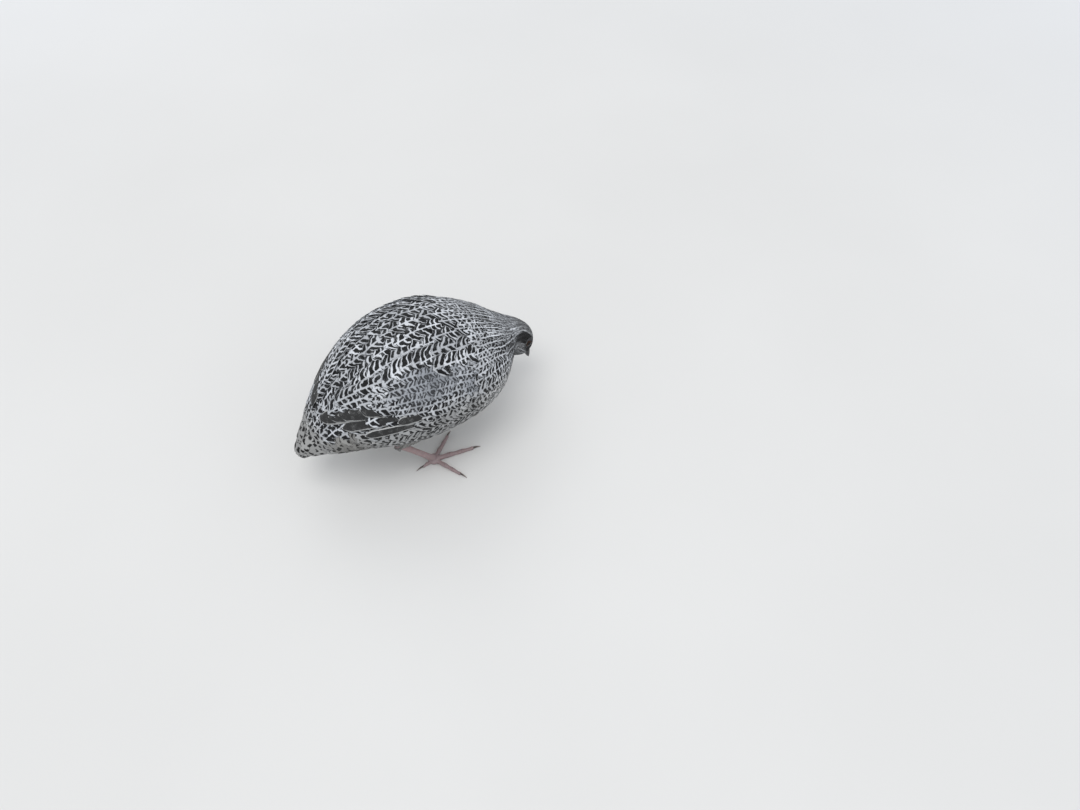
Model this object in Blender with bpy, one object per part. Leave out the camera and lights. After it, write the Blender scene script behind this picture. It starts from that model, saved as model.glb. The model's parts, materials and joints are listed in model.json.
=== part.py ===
"""Life-size model of a silver coturnix quail, feeding with its head lowered.

The bird faces +X, its left side is +Y, and its toes stand on the plane z = 0.
Sizes are in millimetres here and are scaled to metres as each mesh is made.
"""

import math

import bmesh
import bpy
import numpy as np

MM = 0.001
GAP = 0.35  # the air between two pieces that touch in life
WING_GAP = 0.8  # the air under a wing, more because its bed is curved

# Body: cross sections from the rump to the face, each an oval square to the spine.
# x, z, climb of the spine in degrees, half width, height above it, depth below it
BODY = np.array([
    (-66.0, 44.5, 26.0, 21.5, 12.0, 13.5),
    (-54.0, 50.5, 20.0, 29.5, 18.5, 21.5),
    (-35.0, 55.5, 12.0, 39.0, 29.0, 32.0),
    (-12.0, 58.5, 3.0, 45.0, 38.5, 39.5),
    (12.0, 58.0, -3.0, 45.5, 40.0, 40.0),
    (32.0, 54.5, -8.0, 41.5, 35.5, 37.0),
    (47.8, 51.5, -13.6, 34.0, 27.3, 31.4),
    (57.1, 50.9, -21.9, 25.2, 19.0, 25.0),
    (63.1, 50.8, -34.5, 17.6, 14.8, 19.4),
    (68.3, 48.7, -48.0, 12.7, 13.8, 16.4),
    (72.4, 44.4, -55.5, 11.0, 13.6, 13.6),
    (76.0, 39.1, -59.0, 9.8, 12.7, 11.0),
    (79.0, 33.9, -63.0, 7.9, 9.6, 7.8),
    (80.9, 30.0, -66.0, 4.6, 4.9, 4.2),
])
NECK_FROM = 6.6  # places along the spine, counted in sections
HEAD_FROM = 8.6
FACE = len(BODY) - 1.0

# Tail: the same kind of section, from the tip of the feathers to the rump
TAIL = np.array([
    (-85.6, 33.4, 37.0, 4.4, 0.8, 0.9),
    (-79.4, 37.9, 32.5, 9.2, 3.2, 3.4),
    (-73.0, 41.5, 28.0, 15.4, 6.8, 7.6),
    (-66.0, 44.5, 26.0, 21.5, 12.0, 13.5),
])
TAIL_CORE_FROM = 0.75
# angle on the tail, place of the root, place of the tip, half width, height of the tip
TAIL_FEATHERS = (
    (6.0, 2.2, 0.40, 3.6, 0.8),
    (29.0, 2.3, 0.22, 4.1, 1.05),
    (52.0, 2.3, 0.10, 4.3, 1.3),
    (76.0, 2.3, 0.0, 4.4, 1.55),
)
TAIL_COVERTS = (
    (24.0, 2.7, 1.2, 5.2, 1.8),
    (62.0, 2.7, 1.0, 5.4, 2.15),
)

# Wing, folded on the side of the body: a place along the spine, and the angles up the
# side of its lower and its upper edge there
WING = np.array([
    (4.90, 16.0, 32.0),
    (4.65, 6.0, 44.0),
    (4.00, 2.0, 52.0),
    (3.20, 7.0, 58.0),
    (2.60, 15.0, 63.0),
    (2.10, 27.0, 67.0),
    (1.40, 42.0, 73.0),
    (0.62, 66.0, 80.0),
])
WING_FRONT, WING_BACK = WING[0, 0], WING[-1, 0]
WING_CORE_TO = 0.84  # share of the wing's length that is solid under the feathers
WING_SINK = 3.2  # how far its bed lies in the body
WING_RISE = 1.1  # how far its face stands out of the body
# place and angle of the root, place and angle of the tip, half width; the lowest first
PRIMARIES = (
    (2.80, 19.0, 1.15, 48.0, 4.2),
    (2.68, 23.0, 0.62, 74.0, 4.8),
    (2.60, 26.0, 0.95, 70.5, 4.8),
    (2.52, 30.0, 1.28, 65.0, 4.8),
    (2.44, 34.0, 1.62, 58.0, 4.8),
    (2.95, 15.0, 1.55, 26.0, 3.6),
)
TERTIALS = (
    (2.90, 30.0, 2.00, 44.0, 4.8),
    (2.90, 38.0, 1.78, 56.0, 5.1),
    (2.90, 46.0, 1.45, 66.0, 5.2),
    (2.95, 52.0, 1.30, 75.0, 5.2),
    (2.95, 54.0, 1.85, 69.0, 4.8),
)
# place of the root, place of the tip, how many, half width, height of the tip
COVERT_TIERS = (
    (3.45, 2.55, 5, 5.6, 2.5),
    (3.95, 3.12, 5, 5.3, 2.3),
    (4.38, 3.68, 4, 5.5, 2.3),
)
VANE_THICK = 0.55
VANE_ROLL = 0.11  # each lies tilted, one edge over the next feather
LONG_VANE = ((0.0, 0.62), (0.38, 1.0), (0.78, 0.88), (1.0, 0.3))
SHORT_VANE = ((0.0, 0.65), (0.45, 1.0), (0.82, 0.84), (1.0, 0.34))

# Head
EYE_BACK, EYE_UP, EYE_RADIUS, EYE_SHOWS = 12.2, 4.3, 4.0, 1.1
LID_THICK = 0.8
BILL_LENGTH, BILL_HALF_WIDTH, CULMEN, GONYS = 12.6, 2.7, 3.4, 2.1
BILL_DROOP = 0.012

# Legs
FOOT_X, FOOT_Y, FOOT_TURN = -9.0, 30.0, 13.0
PAD_RADIUS, PAD_HEIGHT = 4.2, 4.6
HOCK = (-29.5, 30.0, 34.0)
SHANK_RADIUS = 2.2
KNEE = (-16.0, 24.0, 42.0)
THIGH_RADIUS = 11.5
# name, angle from the foot's own direction towards the bird's outside, length, root radius
TOES = (
    ("middle", 0.0, 27.0, 1.85),
    ("outer", 52.0, 21.5, 1.65),
    ("inner", -49.0, 20.5, 1.65),
    ("hind", 162.0, 9.0, 1.4),
)
CLAW_LENGTH = 5.0

PLUMAGE_DARK = (0.045, 0.047, 0.052)
PLUMAGE_MID = (0.30, 0.31, 0.32)
SKIN_PINK = (0.42, 0.27, 0.27)
HORN = (0.06, 0.055, 0.055)
EYE_DARK = (0.012, 0.008, 0.006)


def clear_scene():
    for old in list(bpy.data.objects):
        bpy.data.objects.remove(old)


def material(name, colour, roughness):
    made = bpy.data.materials.new(name)
    made.use_nodes = True
    shader = made.node_tree.nodes["Principled BSDF"]
    shader.inputs["Base Color"].default_value = (*colour, 1.0)
    shader.inputs["Roughness"].default_value = roughness
    shader.inputs["Metallic"].default_value = 0.0
    return made


def smooth(table, place):
    """A row of the table between its own rows, on a Catmull-Rom curve."""
    last = len(table) - 1
    i = int(min(max(math.floor(place), 0), last - 1))
    u = place - i
    a, b = table[max(i - 1, 0)], table[i]
    c, d = table[i + 1], table[min(i + 2, last)]
    return 0.5 * (
        2 * b + (c - a) * u + (2 * a - 5 * b + 4 * c - d) * u * u
        + (3 * b - a - 3 * c + d) * u ** 3
    )


def bump(value, low, high, soft):
    """1 well inside low..high and 0 outside, with soft edges."""
    inside = min(value - low, high - value) / soft
    t = min(max(inside, 0.0), 1.0)
    return t * t * (3 - 2 * t)


def wing_share(place):
    """0 at the wing's front and 1 at its back, from a place along the spine."""
    return (WING_FRONT - place) / (WING_FRONT - WING_BACK)


def wing_edges(share):
    """The lower and upper angle of the wing at this share of its length."""
    at = (WING_FRONT - WING[:, 0]) / (WING_FRONT - WING_BACK)
    return np.interp(share, at, WING[:, 1]), np.interp(share, at, WING[:, 2])


def wing_bed(place, angle):
    """How deep the wing's bed is at this place and angle on the side of the body."""
    share = wing_share(place)
    low, high = wing_edges(share)
    lengthwise = bump(share, -0.05, 2.0, 0.2) * bump(share, -1.0, 1.08, 0.35)
    return WING_SINK * lengthwise * bump(angle, low - 10.0, high + 10.0, 16.0)


def on_section(row, angle, out=0.0, side=-1):
    """A point of an oval section. The angle is 0 at the side and 90 at the back, in degrees."""
    x, z, climb, half_width, above, below = row
    lean, turn = math.radians(climb), math.radians(angle)
    rise = math.sin(turn)
    height = ((above if rise > 0 else below) + out) * rise
    return np.array([
        x - math.sin(lean) * height,
        side * (half_width + out) * math.cos(turn),
        z + math.cos(lean) * height,
    ])


def body_point(place, angle, out=0.0, side=-1):
    return on_section(smooth(BODY, place), angle, out, side)


def frame_on(table, place, angle, side):
    """A point on the surface that the table describes, and the normal there."""
    row, behind = smooth(table, place), smooth(table, place - 0.04)
    here = on_section(row, angle, 0.0, side)
    tailward = on_section(behind, angle, 0.0, side) - here
    upward = on_section(row, angle + 1.5, 0.0, side) - here
    normal = np.cross(tailward, upward) * side
    return here, normal / np.linalg.norm(normal)


def make(name, points, faces, surface=None):
    """An object from points in millimetres. Its normals are made to point out."""
    mesh = bpy.data.meshes.new(name)
    mesh.from_pydata([tuple(p * MM for p in point) for point in points], [], faces)
    work = bmesh.new()
    work.from_mesh(mesh)
    bmesh.ops.recalc_face_normals(work, faces=work.faces)
    bmesh.ops.triangulate(work, faces=[f for f in work.faces if len(f.verts) > 4])
    work.to_mesh(mesh)
    work.free()
    mesh.shade_smooth()
    mesh.set_sharp_from_angle(angle=math.radians(40))
    made = bpy.data.objects.new(name, mesh)
    bpy.context.scene.collection.objects.link(made)
    if surface:
        mesh.materials.append(surface)
    return made


def tube(name, rings, surface=None):
    """A closed solid through rings of points, each ring of the same count, with flat ends."""
    count = len(rings[0])
    points = [p for ring in rings for p in ring]
    faces = []
    for i in range(len(rings) - 1):
        for j in range(count):
            k = (j + 1) % count
            a, b = i * count + j, i * count + k
            faces.append((a, b, b + count))
            faces.append((a, b + count, a + count))
    faces.append(tuple(range(count)))
    faces.append(tuple(range((len(rings) - 1) * count, len(rings) * count)))
    return make(name, points, faces, surface)


def applied(target):
    """Makes the mesh that the object's modifiers give its own, and keeps its largest closed surface."""
    graph = bpy.context.evaluated_depsgraph_get()
    mesh = bpy.data.meshes.new_from_object(target.evaluated_get(graph))
    target.modifiers.clear()
    target.data = mesh
    work = bmesh.new()
    work.from_mesh(mesh)
    left = set(work.faces)
    largest = []
    while left:
        start = left.pop()
        found, front = [start], [start]
        while front:
            for edge in front.pop().edges:
                for face in edge.link_faces:
                    if face in left:
                        left.remove(face)
                        found.append(face)
                        front.append(face)
        if len(found) > len(largest):
            largest = found
    keep = set(largest)
    bmesh.ops.delete(work, geom=[f for f in work.faces if f not in keep], context="FACES")
    bmesh.ops.triangulate(work, faces=work.faces)
    work.to_mesh(mesh)
    work.free()
    mesh.shade_smooth()
    mesh.set_sharp_from_angle(angle=math.radians(40))


def fused(target, pieces, solver="EXACT"):
    """Joins the pieces to the target in one union, keeps the largest surface, removes them."""
    group = bpy.data.collections.new(target.name + "_pieces")
    for piece in pieces:
        group.objects.link(piece)
    join = target.modifiers.new("join", "BOOLEAN")
    join.operation = "UNION"
    join.operand_type = "COLLECTION"
    join.collection = group
    join.solver = solver
    applied(target)
    for piece in pieces:
        bpy.data.objects.remove(piece)
    bpy.data.collections.remove(group)
    return target


def cut(target, cutter):
    """Takes the cutter's shape out of the target, and removes the cutter."""
    notch = target.modifiers.new("notch", "BOOLEAN")
    notch.operation = "DIFFERENCE"
    notch.object = cutter
    notch.solver = "EXACT"
    applied(target)
    bpy.data.objects.remove(cutter)
    return target


def turned(angle):
    """The angle from the wing's side for a full turn round a section, and the side it is on."""
    folded = (angle + 90.0) % 360.0 - 90.0
    if folded <= 90.0:
        return folded, -1
    return 180.0 - folded, 1


def body_rings(start, end, count, around, grown=0.0, bedded=True):
    rings = []
    for place in np.linspace(start, end, count):
        ring = []
        for j in range(around):
            angle, side = turned(-90.0 + 360.0 * j / around)
            out = grown - (wing_bed(place, angle) if bedded else 0.0)
            ring.append(body_point(place, angle, out, side))
        rings.append(ring)
    return rings


def along_spine(place, distance):
    """The place that lies this distance further along the spine."""
    a, b = smooth(BODY, place), smooth(BODY, place + 0.01)
    return place + 0.01 * distance / math.hypot(b[0] - a[0], b[1] - a[1])


def torso(surface):
    end = along_spine(NECK_FROM, -GAP / 2)
    return tube("torso", body_rings(0.0, end, 25, 40), surface)


def neck(surface):
    start, end = along_spine(NECK_FROM, GAP / 2), along_spine(HEAD_FROM, -GAP / 2)
    return tube("neck", body_rings(start, end, 6, 32, bedded=False), surface)


def head_axes():
    """The centre of the face, the way the bill points and the way the crown points."""
    x, z, climb = BODY[-1][:3]
    lean = math.radians(climb)
    return (
        np.array([x, 0.0, z]),
        np.array([math.cos(lean), 0.0, math.sin(lean)]),
        np.array([-math.sin(lean), 0.0, math.cos(lean)]),
    )


def eye_centre(side):
    """The centre of the eyeball, which shows EYE_SHOWS outside the head."""
    face, ahead, up = head_axes()
    centre = face - ahead * EYE_BACK + up * EYE_UP
    cheek = smooth(BODY, FACE - 2.0)
    half_width = cheek[3] * math.sqrt(1.0 - (EYE_UP / cheek[4]) ** 2)
    return centre + np.array([0.0, side * (half_width + EYE_SHOWS - EYE_RADIUS), 0.0])


def ball(name, centre, radius, around=16, rings=9, surface=None):
    """A sphere with its poles at its top and bottom."""
    pole, aside, third = np.array([0.0, 0.0, 1.0]), np.array([0.0, 1.0, 0.0]), np.array([-1.0, 0.0, 0.0])
    points, faces = [centre + pole * radius, centre - pole * radius], []
    for i in range(1, rings):
        down = math.pi * i / rings
        for j in range(around):
            turn = 2 * math.pi * j / around
            flat = aside * math.cos(turn) + third * math.sin(turn)
            points.append(centre + radius * (pole * math.cos(down) + flat * math.sin(down)))
    for j in range(around):
        k = (j + 1) % around
        faces.append((0, 2 + j, 2 + k))
        last = 2 + (rings - 2) * around
        faces.append((1, last + k, last + j))
        for i in range(rings - 2):
            a, b = 2 + i * around + j, 2 + i * around + k
            faces.append((a, a + around, b + around, b))
    return make(name, points, faces, surface)


def lid_ring(side):
    """The bare rim round the eye, a little longer than it is high."""
    _, ahead, up = head_axes()
    centre = eye_centre(side)
    out = np.array([0.0, side, 0.0])
    reach = math.sqrt(EYE_RADIUS ** 2 - (EYE_RADIUS - EYE_SHOWS) ** 2)
    rim = centre + out * (EYE_RADIUS - EYE_SHOWS + 0.1)
    rings = []
    around, sides = 16, 6
    for i in range(around):
        turn = 2 * math.pi * i / around
        way = ahead * math.cos(turn) * 1.12 + up * math.sin(turn) * 0.92
        middle = rim + way * (reach + LID_THICK * 0.6)
        spoke = way / np.linalg.norm(way)
        rings.append([
            middle + LID_THICK * (spoke * math.cos(a) + out * math.sin(a))
            for a in (2 * math.pi * k / sides for k in range(sides))
        ])
    points = [p for ring in rings for p in ring]
    faces = []
    for i in range(around):
        for k in range(sides):
            a, b = i * sides + k, i * sides + (k + 1) % sides
            c = ((i + 1) % around) * sides
            faces.append((a, b, c + (k + 1) % sides, c + k))
    return make("lid", points, faces)


def head(surface):
    start = along_spine(HEAD_FROM, GAP / 2)
    made = tube("head", body_rings(start, FACE, 11, 28, bedded=False), surface)
    fused(made, [lid_ring(-1), lid_ring(1)])
    for side in (-1, 1):
        cut(made, ball("socket", eye_centre(side), EYE_RADIUS + GAP, 14, 8))
    return made


def bill_rings(upper, grown=0.0):
    """Half-round rings from the face to the tip, flat along the line of the mouth."""
    face, ahead, up = head_axes()
    shares = (0.0, 0.22, 0.45, 0.66, 0.83, 0.94, 1.0)
    widths = (1.0, 0.94, 0.76, 0.55, 0.34, 0.18, 0.07)
    heights = (1.0, 0.95, 0.82, 0.62, 0.42, 0.24, 0.10)
    length = BILL_LENGTH if upper else BILL_LENGTH * 0.93
    tall, turn_up = (CULMEN, 1.0) if upper else (GONYS, -1.0)
    rings = []
    for share, wide, high in zip(shares, widths, heights):
        run = length * share
        centre = face + ahead * (run + GAP) + up * (turn_up * GAP / 2 - BILL_DROOP * run * run)
        ring = []
        for k in range(9):
            a = math.pi * k / 8
            ring.append(
                centre
                + np.array([0.0, 1.0, 0.0]) * (BILL_HALF_WIDTH * wide + grown) * math.cos(a)
                + up * turn_up * (tall * high + grown) * math.sin(a)
            )
        rings.append(ring)
    return rings


def bill(surface):
    """Upper and lower mandible. The upper one has a domed flap over each nostril slit."""
    face, ahead, up = head_axes()
    made = tube("bill_upper", bill_rings(True), surface)
    flaps, slits = [], []
    for side in (-1, 1):
        at = face + ahead * 3.6 + up * 1.75 + np.array([0.0, side * 2.0, 0.0])
        flap = ball("flap", np.zeros(3), 1.0, 10, 6)
        slit = ball("slit", np.zeros(3), 1.0, 10, 6)
        flaps.append(stretched(flap, at, ahead, up, (2.1, 1.15, 0.95)))
        below = at - up * 0.75 + ahead * 0.4 + np.array([0.0, side * 0.75, 0.0])
        slits.append(stretched(slit, below, ahead, up, (1.2, 0.7, 0.32)))
    fused(made, flaps)
    for slit in slits:
        cut(made, slit)
    tube("bill_lower", bill_rings(False), surface)


def stretched(thing, centre, ahead, up, size):
    """Sets a unit ball at the centre, with its sizes along the bill, across it and up from it."""
    across = np.cross(up, ahead)
    for vertex in thing.data.vertices:
        x, y, z = (c / MM for c in vertex.co)
        placed = centre + ahead * x * size[0] + across * y * size[1] + up * z * size[2]
        vertex.co = placed * MM
    return thing


def vane(rows, normals, half_widths, lifts, rolls, thick, bend=1 / 38.0):
    """A closed feather: rows of points from root to tip, each row three wide on both faces.

    rows are points on what it lies on, and normals stand out from it. lifts are the heights
    of its middle, rolls raise one edge and lower the other, and bend wraps it round.
    """
    upper, lower = [], []
    for i, (point, normal) in enumerate(zip(rows, normals)):
        along = rows[min(i + 1, len(rows) - 1)] - rows[max(i - 1, 0)]
        across = np.cross(normal, along / np.linalg.norm(along))
        across = across / np.linalg.norm(across)
        half = half_widths[i]
        body = thick * (1.0 if i < len(rows) - 1 else 0.6)
        for c in (-1.0, 0.0, 1.0):
            drop = bend * (c * half) ** 2 / 2
            edge = 0.75 if c else 1.0
            high = lifts[i] + rolls[i] * c * half - drop
            upper.append(point + across * c * half + normal * high)
            lower.append(point + across * c * half + normal * (high - body * edge))
    points = upper + lower
    count, base = len(rows), len(rows) * 3
    faces = []
    for i in range(count - 1):
        for c in range(2):
            a = i * 3 + c
            for shift, order in ((0, 1), (base, -1)):
                first = (a + shift, a + 1 + shift, a + 4 + shift)
                second = (a + shift, a + 4 + shift, a + 3 + shift)
                faces.extend((first[::order], second[::order]))
        for c in (0, 2):
            a, b = i * 3 + c, i * 3 + 3 + c
            faces.extend(((a, b, b + base), (a, b + base, a + base)))
    for row in (0, count - 1):
        for c in range(2):
            a = row * 3 + c
            faces.extend(((a, a + 1, a + 1 + base), (a, a + 1 + base, a + base)))
    return make("vane", points, faces)


def feather(table, side, start, end, half_width, tip_lift, form, root_lift=0.75, roll=VANE_ROLL):
    """A feather that lies on a surface from one (place, angle) to another, its root sunk in."""
    rows, normals, lifts, halves, rolls = [], [], [], [], []
    for share, wide in form:
        place = start[0] + (end[0] - start[0]) * share
        angle = start[1] + (end[1] - start[1]) * share
        point, normal = frame_on(table, place, angle, side)
        rows.append(point)
        normals.append(normal)
        risen = min(share / 0.5, 1.0)
        lifts.append(root_lift + (tip_lift - root_lift) * risen)
        rolls.append(-roll * side * (0.2 + 0.8 * risen))
        halves.append(half_width * wide)
    return vane(rows, normals, halves, lifts, rolls, VANE_THICK)


def wing_plate(side, surface):
    """The wing's own body. It fills its bed, stands a little proud and thins out at the back."""
    name = "wing_left" if side > 0 else "wing_right"
    long_count, wide_count = 12, 6
    outer, inner = [], []
    for i in range(long_count):
        share = 0.02 + (WING_CORE_TO - 0.02) * i / (long_count - 1)
        place = WING_FRONT - share * (WING_FRONT - WING_BACK)
        low, high = wing_edges(share)
        middle, half = (low + high) / 2, (high - low) / 2
        thinned = min(max((share - 0.62) / (WING_CORE_TO - 0.62), 0.0), 1.0)
        for j in range(wide_count):
            angle = middle + half * (2.0 * j / (wide_count - 1) - 1.0)
            deep = WING_GAP - wing_bed(place, angle)
            face = WING_RISE + (max(deep + 0.6, -1.0) - WING_RISE) * thinned
            outer.append(body_point(place, angle, face, side))
            inner.append(body_point(place, angle, deep, side))
    points, base = outer + inner, len(outer)
    faces = []
    for i in range(long_count - 1):
        for j in range(wide_count - 1):
            a = i * wide_count + j
            b = a + wide_count
            faces.extend(((a, a + 1, b + 1), (a, b + 1, b)))
            faces.extend(((base + a, base + b + 1, base + a + 1), (base + a, base + b, base + b + 1)))
    rim = (
        [i * wide_count for i in range(long_count)]
        + [(long_count - 1) * wide_count + j for j in range(1, wide_count)]
        + [i * wide_count + wide_count - 1 for i in range(long_count - 2, -1, -1)]
        + [j for j in range(wide_count - 2, 0, -1)]
    )
    for a, b in zip(rim, rim[1:] + rim[:1]):
        faces.extend(((a, b, b + base), (a, b + base, a + base)))
    return make(name, points, faces, surface)


def wing(side, surface):
    """The folded wing: its plate with the long feathers and the tiers of coverts on it."""
    chance = np.random.default_rng(11)
    pieces = []
    for order, (place, angle, to_place, to_angle, half) in enumerate(PRIMARIES):
        pieces.append(feather(
            BODY, side, (place, angle), (to_place, to_angle), half, 1.1 + 0.22 * order, LONG_VANE,
        ))
    for order, (place, angle, to_place, to_angle, half) in enumerate(TERTIALS):
        pieces.append(feather(
            BODY, side, (place, angle), (to_place, to_angle), half, 2.35 + 0.14 * order, LONG_VANE,
        ))
    for place, to_place, count, half, height in COVERT_TIERS:
        for k in range(count):
            share = (k + 0.5) / count
            ends = []
            for at in (place, to_place):
                low, high = wing_edges(wing_share(at))
                ends.append((at + chance.uniform(-0.03, 0.03), low + (high - low) * share))
            lift = height + chance.uniform(-0.08, 0.08)
            pieces.append(feather(BODY, side, ends[0], ends[1], half, lift, SHORT_VANE))
    return fused(wing_plate(side, surface), pieces)


def tail(surface):
    """The tail: a core that ends just short of the rump, and two layers of feathers."""
    rings = []
    for place in np.linspace(TAIL_CORE_FROM, 3.0 - GAP / 7.0, 5):
        row = smooth(TAIL, place)
        rings.append([
            on_section(row, *reversed_side(-90.0 + 360.0 * j / 24)) for j in range(24)
        ])
    pieces = []
    for layer, form in ((TAIL_FEATHERS, LONG_VANE), (TAIL_COVERTS, SHORT_VANE)):
        for angle, place, to_place, half, lift in layer:
            for side in (-1, 1):
                tilt = 0.02 if side > 0 else 0.0
                pieces.append(feather(
                    TAIL, side, (place - tilt, angle), (to_place + tilt, angle + 3.0), half,
                    lift + tilt, form, -0.9, 0.06,
                ))
    return fused(tube("tail", rings, surface), pieces)


def reversed_side(angle):
    """The angle, growth and side that on_section takes, for a full turn."""
    folded, side = turned(angle)
    return folded, 0.0, side


def limb(name, path, radii, around=12, grown=0.0, surface=None, squash=1.0):
    """A round limb along a path of points, with its own radius at each."""
    path = [np.array(p, float) for p in path]
    rings = []
    for i, centre in enumerate(path):
        along = path[min(i + 1, len(path) - 1)] - path[max(i - 1, 0)]
        along = along / np.linalg.norm(along)
        aside = np.cross(along, (0.0, 0.0, 1.0))
        if np.linalg.norm(aside) < 1e-3:
            aside = np.array([0.0, 1.0, 0.0])
        aside = aside / np.linalg.norm(aside)
        over = np.cross(aside, along)
        radius = radii[i] + grown
        rings.append([
            centre + radius * (aside * math.cos(a) * squash + over * math.sin(a))
            for a in (2 * math.pi * k / around for k in range(around))
        ])
    return tube(name, rings, surface)


def mirrored(point, side):
    return np.array([point[0], side * point[1], point[2]])


def thigh(side, grown=0.0, surface=None):
    """The feathered upper leg, from inside the flank to the hock."""
    knee, hock = mirrored(KNEE, side), mirrored(HOCK, side)
    shares = (-0.35, -0.2, 0.0, 0.3, 0.6, 0.85, 1.0, 1.08)
    girths = (0.3, 0.7, 0.95, 1.0, 0.8, 0.52, 0.34, 0.2)
    path = [knee + (hock - knee) * s for s in shares]
    radii = [THIGH_RADIUS * g for g in girths]
    name = "thigh_left" if side > 0 else "thigh_right"
    return limb(name, path, radii, 16, grown, surface)


def foot_centre(side):
    return np.array([FOOT_X, side * FOOT_Y, 0.0])


def resting(thing):
    """Flattens what would lie under the floor, so that it rests on a small flat."""
    for vertex in thing.data.vertices:
        vertex.co.z = max(vertex.co.z, 0.0)
    return thing


def pad(side, grown=0.0, surface=None):
    """The ball of the foot, where the toes and the shank meet."""
    name = "foot_left" if side > 0 else "foot_right"
    centre = foot_centre(side) + np.array([0.0, 0.0, PAD_HEIGHT * 0.42])
    made = ball(name, centre, PAD_RADIUS + grown, 14, 8, surface=surface)
    for vertex in made.data.vertices:
        z = vertex.co.z / MM - centre[2]
        vertex.co.z = (centre[2] + z * PAD_HEIGHT / 2 / PAD_RADIUS) * MM
    return resting(made) if grown == 0.0 else made


def shank(side, surface):
    hock = mirrored(HOCK, side)
    ankle = foot_centre(side) + np.array([0.0, 0.0, PAD_HEIGHT * 0.5])
    shares = (-0.06, 0.0, 0.12, 0.35, 0.6, 0.82, 0.94, 1.0)
    girths = (1.2, 1.3, 1.08, 0.95, 0.92, 0.98, 1.12, 1.05)
    name = "shank_left" if side > 0 else "shank_right"
    path = [hock + (ankle - hock) * s for s in shares]
    made = limb(name, path, [SHANK_RADIUS * g for g in girths], 12, surface=surface, squash=0.86)
    cut(made, pad(side, GAP))
    return cut(made, thigh(side, GAP))


def toe_way(side, angle):
    """The direction of a toe on the floor. The foot itself is turned a little outwards."""
    turn = math.radians(side * (FOOT_TURN + angle))
    return np.array([math.cos(turn), math.sin(turn), 0.0])


def toe(side, name, angle, length, radius, skin, horn):
    """A toe with its joints swollen, flat beneath, and its claw ahead of it."""
    way = toe_way(side, angle)
    joints = 2 if name == "hind" else 3
    shares = np.linspace(0.0, 1.0, 4 * joints + 1)
    path, radii = [], []
    for share in shares:
        taper = 1.0 - 0.38 * share
        swell = 1.0 + 0.09 * math.cos(2 * math.pi * joints * share)
        r = radius * taper * swell
        arch = 0.5 * math.sin(math.pi * share) ** 2
        start = 0.95 * PAD_RADIUS
        path.append(foot_centre(side) + way * (start + (length - start) * share)
                    + np.array([0.0, 0.0, r * 0.86 + arch * 0.15]))
        radii.append(r)
    word = "left" if side > 0 else "right"
    made = limb(f"toe_{word}_{name}", path, radii, 8, surface=skin)
    cut(resting(made), pad(side, GAP))
    claw_from = foot_centre(side) + way * (length + GAP)
    thin = radii[-1] * 0.78
    rings_path = [
        claw_from + way * CLAW_LENGTH * s + np.array([0.0, 0.0, height])
        for s, height in ((0.0, 1.15), (0.3, 1.45), (0.62, 1.2), (0.88, 0.55), (1.0, 0.16))
    ]
    claw_radii = [thin, thin * 0.86, thin * 0.6, thin * 0.3, 0.12]
    resting(limb(f"claw_{word}_{name}", rings_path, claw_radii, 6, surface=horn, squash=0.8))


def centre_on_floor():
    """Moves everything so that the middle of its box is over the origin."""
    bpy.context.view_layer.update()
    shown = [o for o in bpy.context.scene.objects if o.type == "MESH"]
    corners = np.array([v.co for o in shown for v in o.data.vertices])
    middle = (corners.min(0) + corners.max(0)) / 2
    for thing in shown:
        for vertex in thing.data.vertices:
            vertex.co.x -= middle[0]
            vertex.co.y -= middle[1]


def main():
    clear_scene()
    plumage = material("plumage", PLUMAGE_MID, 0.75)
    quills = material("quills", PLUMAGE_DARK, 0.6)
    skin = material("leg_skin", SKIN_PINK, 0.5)
    horn = material("horn", HORN, 0.35)
    wet = material("eye", EYE_DARK, 0.05)
    torso(plumage)
    neck(plumage)
    head(plumage)
    bill(horn)
    tail(quills)
    for side, word in ((-1, "right"), (1, "left")):
        ball(f"eye_{word}", eye_centre(side), EYE_RADIUS, surface=wet)
        wing(side, quills)
        leg = thigh(side, 0.0, plumage)
        cut(leg, tube("flank", body_rings(0.0, NECK_FROM, 30, 56, GAP, False)))
        shank(side, skin)
        pad(side, 0.0, skin)
        for name, angle, length, radius in TOES:
            toe(side, name, angle, length, radius, skin, horn)
    centre_on_floor()


main()
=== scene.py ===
"""Looks of the silver coturnix quail: its skin, feathers, eyes, bill and legs, and the view.

The bird faces +X, its left side is +Y, and it stands on z = 0. Sizes are in millimetres
until a mesh is made. The body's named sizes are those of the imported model.
"""

import json
import math

import bmesh
import bpy
import numpy as np
from mathutils import Matrix, Vector, kdtree

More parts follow.
